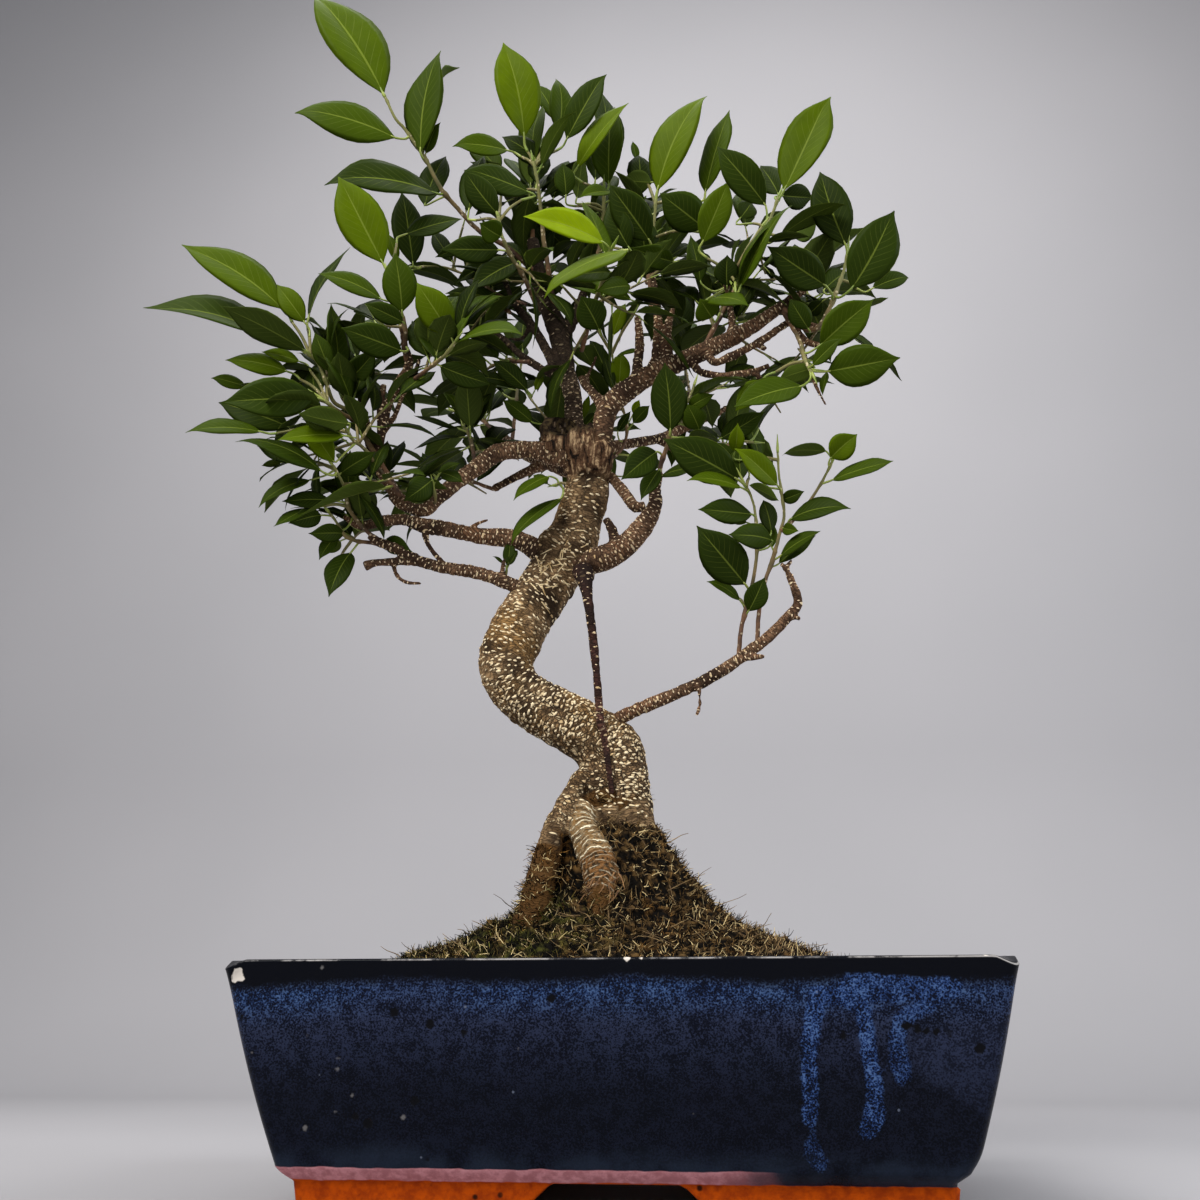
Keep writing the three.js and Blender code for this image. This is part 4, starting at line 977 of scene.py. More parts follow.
def fleckTree():  # pale bark flecks: flat beads lying on the surface, long across the stem
    tree, start = newGrowth("barkFlecks", "Spacing", "Size")
    patch = put("ShaderNodeTexNoise", {"Scale": 70.0, "Detail": 2.0})["Fac"]
    factor = span(patch, 0.3, 0.46, smooth=False) * named("flecky")
    ends = {"Distance Min": start["Spacing"], "Density Max": 500000.0, "Density Factor": factor}
    spread = scattered(start, "POISSON", ends)
    flat = put("FunctionNodeAlignRotationToVector", {"Vector": spread["Normal"]}, axis="Z")[0]
    across = joined(named("across", "FLOAT_VECTOR"), chanceValue((-0.4, -0.4, -0.4), (0.4, 0.4, 0.4), 7))
    turned = aligned(flat, across, "X", pivot_axis="Z")
    size = scaled((0.8, 0.38, 0.2), (2.1, 0.78, 0.36), 11, start["Size"])
    bead = put("GeometryNodeMeshIcoSphere", {"Radius": 1.0, "Subdivisions": 1})["Mesh"]
    bead = put("GeometryNodeSetShadeSmooth", {"Geometry": bead})[0]
    return finishGrowth(tree, start, placedOn(spread, bead, turned, size))


moss = {
    "x": -9.0, "base": 96.6, "depth scale": 0.8,
    # distance from the middle and height, to the left and to the right
    "left": ((0, 180), (16, 177), (26, 169), (33, 158), (39, 146), (44, 138), (51, 131), (62, 124),
             (74, 119), (90, 114), (104, 109), (120, 103), (134, 97)),
    "front": ((0, 180), (18, 176), (30, 168), (40, 156), (50, 143), (60, 133), (72, 124), (90, 116),
              (106, 111), (122, 105), (134, 97)),
    "right": ((0, 181), (16, 177), (24, 172), (28, 164), (32, 158), (37, 150), (43, 143), (50, 135),
              (57, 129), (64, 124), (74, 120), (86, 115), (100, 110), (118, 104), (134, 97)),
    # places where it stands higher: x, y, rise and reach
    "humps": ((-34, -22, 17, 11), (-31, -18, 5, 8), (2, -24, 6, 10), (22, -14, 3, 9)),
    "turns": 216, "rings": 104, "reach": 134.0, "curls": 0.27, "curl length": 3.6, "fuzz": 0.42,
    "fuzz length": 3.4,
    # rootlets that lie over it: how many, how far out, and how long
    "hairs": 260, "hair reach": (14, 116), "hair length": (6, 20),
}


def mossHeight(r, turn):
    left, front, right = (np.interp(r, *np.array(moss[side]).T) for side in ("left", "front", "right"))
    share = (1 + cos(turn)) / 2
    frontShare = abs(sin(turn)) ** 2
    height = (share * right + (1 - share) * left) * (1 - frontShare) + front * frontShare
    x, y = moss["x"] + r * cos(turn), moss["depth scale"] * r * sin(turn)
    for humpX, humpY, rise, reach in moss["humps"]:
        height += rise * exp(-((x - humpX) ** 2 + (y - humpY) ** 2) / reach**2)
    return height


def mossTree():  # bent curls over the mound and the feet of the roots
    tree, start = newGrowth("mossCurls", "Density", "Length")
    clump = put("ShaderNodeTexNoise", {"Scale": 190.0, "Detail": 2.0})["Fac"]
    clump = span(clump, 0.4, 0.62, 0.3, 1.4, smooth=False)
    dense = start["Density"] * clump * named("mossy")
    spread = scattered(start, "RANDOM", {"Density": dense})
    lean = joined(spread["Normal"], chanceValue((-1.3, -1.3, -0.9), (1.3, 1.3, 1.0), 3))
    turned = aligned(turnedBy((0, 0, -3.1), (0, 0, 3.1), 2), lean, "Z")
    size = scaled((0.07, 0.07, 0.35), (0.16, 0.16, 1.5), 5, start["Length"])
    ends = {"Vertices": 3, "Side Segments": 2, "Radius Top": 0.25, "Radius Bottom": 0.6, "Depth": 1.0}
    cone = put("GeometryNodeMeshCone", ends, fill_type="NONE")["Mesh"]
    rise = axis(put("GeometryNodeInputPosition")[0], "Z")
    bow = put("ShaderNodeCombineXYZ", {"X": rise**2.0 * 3.4})[0]
    bent = put("GeometryNodeSetPosition", {"Geometry": cone, "Offset": bow})[0]
    shade = {"Geometry": placedOn(spread, bent, turned, size), "Name": "shade",
             "Value": chanceValue(0.0, 1.0, 9)}
    shaded = put("GeometryNodeStoreNamedAttribute", shade, data_type="FLOAT", domain="INSTANCE")[0]
    return finishGrowth(tree, start, shaded)


# wood: routes of x, y, z, radius

trunk = {
    "route": [
        (-9, 0, 64, 38), (-9, 0, 100, 32), (-9, 0, 136, 26), (-9, 0, 164, 22.5), (-9, 0, 191, 18.8),
        (-11, -2, 212, 17.8), (-16, -3, 220, 17.2), (-30, -5, 230, 15.8), (-44, -6, 237, 14.8),
        (-58, -7, 246, 14.4), (-67, -8, 259, 14.8), (-68, -7, 270, 15.3), (-65, -5, 279, 15.8),
        (-62, -3, 289, 15.5), (-55, 0, 301, 15), (-45, 3, 319, 15), (-40, 4, 330, 16), (-34, 4, 340, 15.5),
        (-30, 4, 355, 13.6), (-26, 3, 367, 13), (-25, 2, 376, 12.4), (-25, 1, 385, 14), (-28, 0, 396, 14.6),
        (-32, 0, 404, 12.5)],
    "roots": [
        [(-20, -6, 206, 5.5), (-25, -11, 201, 5.2), (-30, -16, 193, 5), (-34, -22, 184, 5),
         (-37, -27, 175, 5.6), (-39.5, -32, 162, 6.6), (-42, -37, 148, 7.8), (-45, -42, 131, 8.4),
         (-50, -45, 108, 8.4), (-54, -46, 88, 7)],
        [(-20, -4, 190, 5), (-25, -13, 185, 6.4), (-25.5, -20, 179, 7.2), (-23.5, -25, 171, 7.8),
         (-18.5, -29, 162, 8.6), (-14.5, -33, 153, 9.4), (-12.5, -38, 144, 8.8), (-13, -45, 133, 6),
         (-14, -52, 114, 4)],
        [(0, 10, 176, 8), (14, 22, 150, 9), (28, 36, 124, 9), (42, 48, 98, 8), (50, 56, 84, 5)],
        [(-20, 12, 178, 8), (-32, 30, 146, 9), (-44, 48, 118, 9), (-52, 62, 98, 7), (-56, 68, 86, 5)],
        [(2, -4, 172, 7), (14, -10, 148, 8), (30, -18, 120, 8), (46, -26, 100, 7), (56, -32, 88, 5)]],
    "knots": [((-41, -2, 404), (11, 9, 11)), ((-19, -5, 388), (10, 9, 10)), ((-41, -2, 335), (13, 12, 11)),
              ((-47, -3, 407), (6, 6, 8)), ((-28, -3, 400), (5, 5, 6)), ((-44, -3, 393), (10, 9, 8)),
              ((-30, -7, 331), (8, 8, 9)), ((-26, -6, 316), (7, 7, 8)), ((-20, -5, 222), (10, 9, 8))],
    "voxel": 1.3, "fleck spacing": 2.7, "fleck size": 1.0, "lumps": 1.1,
    "creepers": 56, "splinters": 34, "fibres": 36,
    # how high the moss reaches up the trunk and each root
    "moss height": (197, 168, 141, 170, 170, 170),
}
aerialRoot = {"routes": [[
    (-26, -10, 316, 6.4), (-24, -17, 308, 4.2), (-22, -21, 298, 2.9), (-20, -23, 284, 2.4),
    (-18, -24, 267, 2.2), (-16, -24, 245, 2.1), (-15, -22, 229, 2.1), (-13, -19, 219, 2.0),
    (-11, -20, 205, 1.7), (-9, -21, 190, 1.4)]],
    "voxel": 0.55, "fleck spacing": 3.4, "fleck size": 0.5, "lumps": 0.4}
branches = {
    "leader": [
        [(-31, 9, 399, 7.5), (-33, 8, 409, 6.4), (-34, 6, 418, 5.5), (-34, 4, 430, 5.0), (-36, 4, 440, 5.2),
         (-38.5, 5, 449, 5.6), (-41, 6, 463, 5.8), (-45, 4, 480, 6.2), (-52, 2, 498, 5.5),
         (-56, -2, 517, 4.5), (-59, -4, 536, 3.4)],
        [(-36, 5, 438, 4.2), (-44, 2, 447, 3.4), (-50, 2, 462, 2.8), (-58, 0, 477, 2.6), (-70, -2, 494, 2.2),
         (-77, -4, 512, 1.6)],
        [(-40, 4, 444, 3.2), (-52, 4, 450, 2.8), (-66, 4, 461, 2.2), (-79, 2, 474, 1.8), (-88, 0, 480, 1.3)],
        [(-60, 0, 478, 1.8), (-66, 4, 472, 1.3), (-74, 6, 474, 0.9)],
        [(-42, 5, 470, 4.2), (-34, 8, 488, 3.2), (-28, 10, 508, 2.6), (-24, 8, 528, 2.0)]],
    "branch_right_main": [
        [(-20, -2, 392, 8), (-16, -4, 401, 6), (-15, -6, 409, 6.2), (-12, -8, 416.5, 6.6),
         (-6, -9, 422.5, 6.4), (1, -11, 427, 6.2), (16, -15, 434, 5.9), (36, -19, 440, 5.3),
         (57, -23, 447, 4.7), (74, -26, 455, 3.9), (91, -29, 465, 3.0)],
        [(-14, -8, 417, 4.2), (-18, -7, 423, 3.4), (-22, -6, 429, 2.9), (-26.5, -4, 435, 2.5),
         (-29, -1, 441, 2)],
        [(-25.5, -2, 436, 1.4), (-25, -1, 442, 1.1), (-23, 1, 448, 1.0), (-20, 2, 456, 0.9)],
        [(4, -12, 426, 3.8), (6, -13, 443, 3.0), (7, -13, 460, 2.6), (6, -14, 472, 2.2)],
        [(12, -14, 430, 4.2), (17, -14, 446, 3.0), (18, -14, 466, 2.6), (17, -14, 484, 2.2),
         (15, -14, 498, 1.8)],
        [(24, -16, 436, 4.2), (23, -16, 451, 3.2), (24, -15, 464, 2.4), (27, -14, 476, 1.5)],
        [(63, -23, 447, 2.6), (61, -24, 457, 2.2), (60, -26, 469, 2.2), (59, -28, 478, 1.9)],
        [(38, -20, 436, 2.6), (42, -24, 428, 2.4), (52, -24, 425, 2.2), (62, -24, 425, 2.2),
         (71, -24, 426, 2.0), (81, -25, 429, 1.8)],
        [(71, -24, 426, 2.0), (74, -24, 424, 1.8), (76, -24, 421, 1.6)],
        [(46, -22, 440, 2.6), (51, -28, 431, 2.3), (59, -30, 433, 2.2), (68, -30, 437, 2.2),
         (80, -30, 444, 2.2), (90, -30, 451, 2.4), (95, -29, 454, 2.4), (99, -29, 451, 2.2),
         (104, -29, 450, 2.0), (110, -29, 449, 1.7)],
        [(74, -30, 441, 2.0), (77, -30, 438, 1.8), (79, -30, 436, 1.6)],
        [(95, -29, 453, 2.2), (99, -30, 443, 2.0), (103, -30, 439, 1.9), (109, -30, 437, 1.8)],
        [(88, -28, 462, 3.0), (96, -28, 470, 2.2), (103, -27, 474, 1.4), (102, -27, 484, 1.2),
         (101, -27, 490, 1.0)],
        [(98, -31, 441, 1.6), (101, -34, 424, 1.3), (105, -34, 411, 1.1), (110, -34, 398, 0.8)]],
    "branch_upper_left": [
        [(-32, -2, 391, 8), (-40, -4, 390, 6.6), (-58, -7, 393, 5.4), (-75, -10, 391, 5.2),
         (-88, -12, 381, 4.9), (-100, -13, 371, 4.6), (-109, -14, 363, 4.2), (-116, -15, 355, 4.0),
         (-129, -14, 359, 3.4), (-136, -14, 366, 3)],
        [(-124, -15, 356, 2.8), (-140, -17, 375, 2.8), (-148, -20, 393, 3), (-151, -22, 408, 2.4),
         (-156, -22, 421, 1.8)],
        [(-145, -19, 386, 2.6), (-140, -24, 405, 2.4), (-135, -28, 422, 2.6), (-128, -34, 429, 3),
         (-123, -38, 435, 2.6), (-125, -42, 446, 1.9), (-127, -48, 460, 1.4)],
        [(-142, -23, 400, 2.4), (-142, -25, 410, 2.3), (-141.5, -26, 420, 2.2), (-141, -26, 430, 1.9)],
        [(-140, -22, 402, 2.0), (-135, -20, 413, 1.8), (-131, -20, 425, 1.6), (-126, -20, 434, 1.6),
         (-124, -20, 441, 1.5), (-122, -20, 449, 1.6)]],
    "branch_left_mid": [
        [(-52, -2, 332, 6.4), (-63, -5, 338, 5.2), (-86, -10, 340, 4.7), (-106, -14, 344, 4.4),
         (-116, -16, 345, 4.2), (-127, -17, 349, 3.6), (-141, -18, 348, 3.2), (-151, -20, 345, 2.7),
         (-160, -22, 351, 2.2)],
        [(-115, -17, 342, 2.0), (-113, -18, 334, 1.6), (-109, -18, 328, 1.5), (-103, -17, 321, 1.8)],
        [(-92, -12, 341, 1.8), (-86, -15, 345, 1.3), (-79, -16, 347, 0.9)]],
    "branch_left_low": [
        [(-55, -4, 306, 5.0), (-67, -8, 311, 3.8), (-85, -12, 317, 3.6), (-105, -15, 320, 3.3),
         (-119, -16, 324, 3.0), (-132, -17, 324, 2.4), (-143, -18, 323, 2.2), (-148, -19, 321, 3.0)],
        [(-112, -16, 321, 2.6), (-128, -18, 330, 3.0), (-140, -19, 335, 2.8), (-146, -20, 339, 2.2)],
        [(-132, -17, 324, 1.6), (-131, -16, 318, 1.3), (-127, -16, 313, 1.1), (-121, -16, 311, 1.0),
         (-116, -16, 311, 0.7)],
        [(-70, -9, 311, 1.6), (-71, -12, 318, 1.2), (-70, -12, 325, 0.9)]],
    "branch_right_mid": [
        [(-30, -2, 325, 8.5), (-18, -6, 324, 7.4), (-2, -11, 330, 6.6), (9, -14, 341, 5.6),
         (15, -15, 352, 4.4), (15, -15, 361, 3.2), (18, -16, 371, 2.4)],
        [(-8, -9, 327, 3.4), (-9, -12, 338, 2.8), (-13, -12, 346, 2.4)],
        [(-18, 2, 382, 3.8), (-11, 2, 377, 3.2), (-3, 0, 365, 3.0), (3, -2, 356, 3.2), (8, -4, 356, 2.6)]],
    "branch_right_low": [
        [(-18, -6, 225, 4.5), (-5, -10, 233, 3.6), (10, -12, 239, 3.5), (27, -14, 245, 3.4),
         (45, -16, 253, 3.2), (61, -18, 263, 3.0), (72, -20, 270, 3.2), (83, -22, 280, 3.0),
         (90, -24, 288, 2.8), (88, -26, 298, 2.2), (85, -27, 306, 1.7), (82, -27, 310, 1.2)],
        [(56, -18, 260, 2.0), (64, -20, 261, 1.7), (72, -20, 261, 1.3)],
        [(36, -16, 249, 1.4), (37, -18, 241, 1.0), (37, -18, 236, 0.9), (35, -18, 231, 1.2)],
        [(85, -27, 304, 1.4), (86, -27, 309, 1.2), (88, -27, 312, 1.0)],
        [(85, -22, 282, 2.0), (91, -24, 280, 1.3)]],
    "branch_back_left": [
        [(-28, 6, 384, 7), (-38, 24, 394, 6), (-54, 44, 408, 5), (-76, 64, 426, 4.2), (-96, 86, 450, 3)],
        [(-54, 44, 408, 3.4), (-72, 50, 404, 3), (-92, 58, 398, 2.4)]],
    "branch_back_right": [
        [(-22, 6, 396, 5), (-8, 24, 408, 3.2), (12, 44, 420, 3), (34, 66, 440, 2.8), (56, 88, 460, 2.4)],
        [(12, 44, 420, 2.4), (28, 48, 412, 2.2), (46, 56, 410, 2)]],
}
limb = {"voxel": 0.75, "fleck spacing": 2.25, "fleck size": 0.58, "lumps": 0.55}


def ballAt(middle, radii):
    rings, sides = 9, 16
    points, faces = [], []
    for i in range(1, rings):
        tilt = pi * i / rings
        for k in range(sides):
            turn = 2 * pi * k / sides
            points.append([middle[0] + radii[0] * sin(tilt) * cos(turn),
                           middle[1] + radii[1] * sin(tilt) * sin(turn),
                           middle[2] + radii[2] * cos(tilt)])
    for i in range(rings - 2):
        for k in range(sides):
            a, b = i * sides + k, i * sides + (k + 1) % sides
            faces.append((a, a + sides, b + sides, b))
    faces.append(tuple(range(sides)))
    faces.append(tuple(reversed(range((rings - 2) * sides, (rings - 1) * sides))))
    return points, faces


def routeLength(route):
    place = np.asarray(route, float)[:, :3]
    return float(np.linalg.norm(np.diff(place, axis=0), axis=1).sum())


def skinOf(name, routes, knots, voxel):
    # the routes' tubes and knots grown into one skin: its points in mm and its faces
    draft = Draft()
    for route in routes:
        path = smoothRoute(route, max(6, int(routeLength(route) / 3)))
        draft.add(*tubeAlong(path, 20))
    for middle, radii in knots:
        draft.add(*ballAt(middle, radii))
    piece = newPiece(name, draft.mesh(name))
    skin = piece.modifiers.new("skin", "REMESH")
    skin.mode = "VOXEL"
    skin.voxel_size = voxel * mm
    soften = piece.modifiers.new("soften", "SMOOTH")
    soften.factor, soften.iterations = 0.6, 6
    mesh = freeze(piece)
    points = np.empty(len(mesh.vertices) * 3)
    mesh.vertices.foreach_get("co", points)
    points = (points.reshape(-1, 3) - home) / mm
    normals = np.empty(len(mesh.vertices) * 3)
    mesh.vertices.foreach_get("normal", normals)
    faces = [list(p.vertices) for p in mesh.polygons]
    bpy.data.objects.remove(piece)
    bpy.data.meshes.remove(mesh)
    return points, normals.reshape(-1, 3), faces


def along(points, routes):
    # for each point: which route it is on, the distance along it, the way round it, and the tangent
    rows = []
    for number, route in enumerate(routes):
        path = smoothRoute(route, max(8, int(routeLength(route) / 1.5)))
        run = np.concatenate([[0], np.cumsum(np.linalg.norm(np.diff(path[:, :3], axis=0), axis=1))])
        rows.append(np.column_stack([path, run, np.full(len(path), number), *ringFrames(path)]))
    rows = np.vstack(rows)
    tree = kdtree.KDTree(len(rows))
    for i, row in enumerate(rows):
        tree.insert(row[:3], i)
    tree.balance()
    near = rows[[tree.find(p)[1] for p in points]]
    spot, thick, run, owner, ahead, sideA, sideB = np.split(near, (3, 4, 5, 6, 9, 12), axis=1)
    away = points - spot
    turn = np.arctan2((away * sideB).sum(1), (away * sideA).sum(1))
    reach = run[:, 0] + (away * ahead).sum(1)
    return owner[:, 0].astype(int), reach, turn * thick[:, 0], ahead


def noiseOn(points, scale, seed=0.0):
    shift = Vector((seed * 17.3, seed * 9.1, seed * 5.7))
    return np.array([noise.noise(Vector(p) * scale + shift) for p in points])


def growWood(name, routes, sizes, *materials, ringed=(), flecky=None, extras=None):
    points, normals, faces = skinOf(name, routes, sizes.get("knots", ()), sizes["voxel"])
    lumps = sizes["lumps"]
    owner, reach, turned, ahead = along(points, routes)
    rings = np.isin(owner, ringed) * np.clip((reach - 15) / 4, 0, 1)
    rings = rings * np.where(points[:, 2] > 170, np.clip((-16 - points[:, 0]) / 3, 0, 1), 1)
    bend = noiseOn(points, 0.09, 3)
    lift = lumps * (noiseOn(points, 0.07, 1) * 1.1 + noiseOn(points, 0.2, 2) * 0.6)
    cross = np.sin(reach * 2 * pi / 5.2 + bend * 7) * np.clip(noiseOn(points, 0.06, 4) + 0.35, 0, 1)
    lift += lumps * 0.42 * cross
    lift += rings * 0.2 * np.sin(reach * 2 * pi / 3.3 + bend * 2)
    points = points + normals * lift[:, None]
    across = np.cross(ahead, normals)
    share = np.ones(len(points)) if flecky is None else flecky(points, owner)
    draft = Draft("flecky", "ringed", "mossy", "old", "rusty", "scar", "dim", vectors=("across", "stem"))
    stem = np.column_stack([turned, reach, owner * 40.0]) * mm
    mossy, old, rusty, scar = np.zeros((4, len(points)))
    # painted shade on the leader above 438 mm, where the crown shades it; its flecks thin out there as well
    dim = np.clip((points[:, 2] - 438) / 14, 0, 1) * (name == "leader")
    share = share * (1 - 0.9 * dim)
    if name == "trunk":
        points, scar = woundOn(points, normals, owner)
        old = np.clip((262 - points[:, 2]) / 30 + 0.4 * noiseOn(points, 0.08, 16), 0, 1) * (owner == 0)
        old = np.maximum(old, (owner == 1) * np.clip((points[:, 2] - 170) / 8, 0, 1))
        rusty = (owner == 2) * np.clip((reach - 44) / 12, 0, 1)
        reachUp = np.array(trunk["moss height"])[owner] + 10 * noiseOn(points, 0.12, 14)
        reachUp = np.where((owner == 2) & (reach < 15), 196, reachUp)
        mossy = np.clip((reachUp - points[:, 2]) / 8, 0, 1)
        mossy *= np.where((owner == 0) & (points[:, 1] < 2), np.clip((193 - points[:, 2]) / 12, 0, 1), 1)
        share = share * (1 - 0.45 * mossy)
    draft.add(points, faces, slot=0, flecky=share * (1 - rings), ringed=rings, mossy=mossy, old=old,
              rusty=rusty, scar=scar, dim=dim, across=across, stem=stem)
    if extras is not None:
        extras(draft, points, normals, faces)
    piece = newPiece(name + "_bark", draft.mesh(name + "_bark"), *materials)
    if name == "trunk":
        settle(growApart(piece, "root_moss", curls, Density=moss["fuzz"] / mm**2,
                         Length=moss["fuzz length"] * mm, Seed=6, Material=finish["mossBlade"]), "moss")
    grow(piece, flecks, Spacing=sizes["fleck spacing"] * mm, Size=sizes["fleck size"] * mm, Seed=len(name),
         Material=finish["fleck" if name == "trunk" else "limbFleck"])
    settle(piece, "bark", name)


def woundOn(points, normals, owner):
    # the cut top: ridges, a slit with a lip over it, and a hollow facing up
    x, y, z = points.T
    scar = (owner == 0) * np.clip((z - 374.5) / 2.5, 0, 1)
    lift = scar * 1.5 * noiseOn(points * (1, 1, 0.2), 0.42, 21)
    front = (normals[:, 1] < 0.2) * np.clip((x + 34) / 4, 0, 1) * np.clip((-9 - x) / 4, 0, 1) * (owner == 0)
    lift += front * (1.4 * np.exp(-((z - 379.5) / 3.0) ** 2) - 2.0 * np.exp(-((z - 374.3) / 1.2) ** 2))
    points = points + normals * lift[:, None]
    gap = np.linalg.norm((points - (-39, -11, 408)) / (9.5, 10, 8.5), axis=1)
    hollow = np.clip(1.5 - 1.5 * gap, 0, 1) * (owner == 0)
    points = points + hollow[:, None] * (0.5, 5.0, -2.0)
    # the hollow and the cut above 398 mm get a scar value over 1, which the bark paints dark as shade
    return points, scar + np.clip(2 * hollow + np.clip((z - 398) / 12, 0, 0.5), 0, 1) * scar


def trunkFlecky(points, owner):
    z = points[:, 2]
    share = np.clip((z - 179) / 6, 0, 1) * np.clip((376 - z) / 2, 0, 1)
    share *= np.interp(z, (250, 275, 322, 334), (1, 0.7, 0.7, 0.42))
    return np.where(owner == 1, 0.0, share)


def trunkExtras(draft, points, normals, faces):
    chance = random.Random(11)
    surface = BVHTree.FromPolygons(points.tolist(), faces)
    # fine pale roots that creep over the front of the upper bend
    for k in range(trunk["creepers"]):
        x, z = chance.gauss(-40, 8), chance.gauss(314, 13)
        turn = chance.choice((0.7, 2.2, 1.3, 0.2)) + chance.uniform(-0.4, 0.4)
        path = []
        for step in range(chance.choice((3, 4, 5))):
            hit = surface.ray_cast(Vector((x, -80, z)), Vector((0, 1, 0)), 160)[0]
            if hit is None or (path and abs(hit[1] - path[-1][1]) > 3):
                break
            path.append((hit[0], hit[1] + 0.1, hit[2], chance.uniform(0.3, 0.5)))
            x, z = x + 1.7 * cos(turn), z + 1.7 * sin(turn)
            turn += chance.uniform(-0.3, 0.3)
        if len(path) > 2:
            draft.add(*tubeAlong(smoothRoute(path, 6), 5), slot=1)
    # splinters and dry fibres round the cut top
    for k in range(trunk["splinters"]):
        turn = chance.uniform(0, 2 * pi)
        rim = chance.uniform(0.7, 1.0)
        x, y = -38 + 11 * rim * cos(turn), 9 * rim * sin(turn)
        z = 403 + chance.uniform(-3, 5)
        length = chance.uniform(2, 4.5)
        lean = (chance.uniform(-0.12, 0.12) + 0.16 * cos(turn), chance.uniform(-0.12, 0.12))
        down = -1 if rim > 0.8 and chance.random() < 0.6 else 1
        path = [(x + lean[0] * s, y + lean[1] * s, z + down * s, 0.6 * (1 - s / length) + 0.18)
                for s in (0, length * 0.35, length * 0.7, length * 0.97)]
        if down < 0:
            path = [(px + 1.2 * cos(turn), py + 1.2 * sin(turn), pz, r) for px, py, pz, r in path]
        draft.add(*tubeAlong(smoothRoute(path, 5), 4), slot=3)
    # the front root ends in rusty fibres that fan into the moss
    for k in range(trunk["fibres"]):
        start = (-11 + chance.gauss(0, 4.0), chance.uniform(-47, -42), chance.uniform(138, 148))
        end = (start[0] - 4 + chance.gauss(0, 4), start[1] - chance.uniform(1, 6),
               start[2] - chance.uniform(5, 11))
        middle = tuple((a + b) / 2 + chance.uniform(-1.5, 1.5) for a, b in zip(start, end))
        addTube(draft, ((start, 0.45), (middle, 0.34), (end, 0.18)), 6, 4, slot=2)


flecks = fleckTree()
curls = mossTree()


def makeWood():
    growWood("trunk", [trunk["route"]] + trunk["roots"], trunk, finish["bark"], finish["creeper"],
             finish["rust"], finish["splinter"], ringed=(2,), flecky=trunkFlecky, extras=trunkExtras)
    print("trunk made")
    growWood("aerial_root", aerialRoot["routes"], aerialRoot, finish["rootBark"])
    for name, routes in branches.items():
        growWood(name, routes, limb, finish["paleBark" if name == "leader" else "limbBark"])


makeWood()
print("branches made")
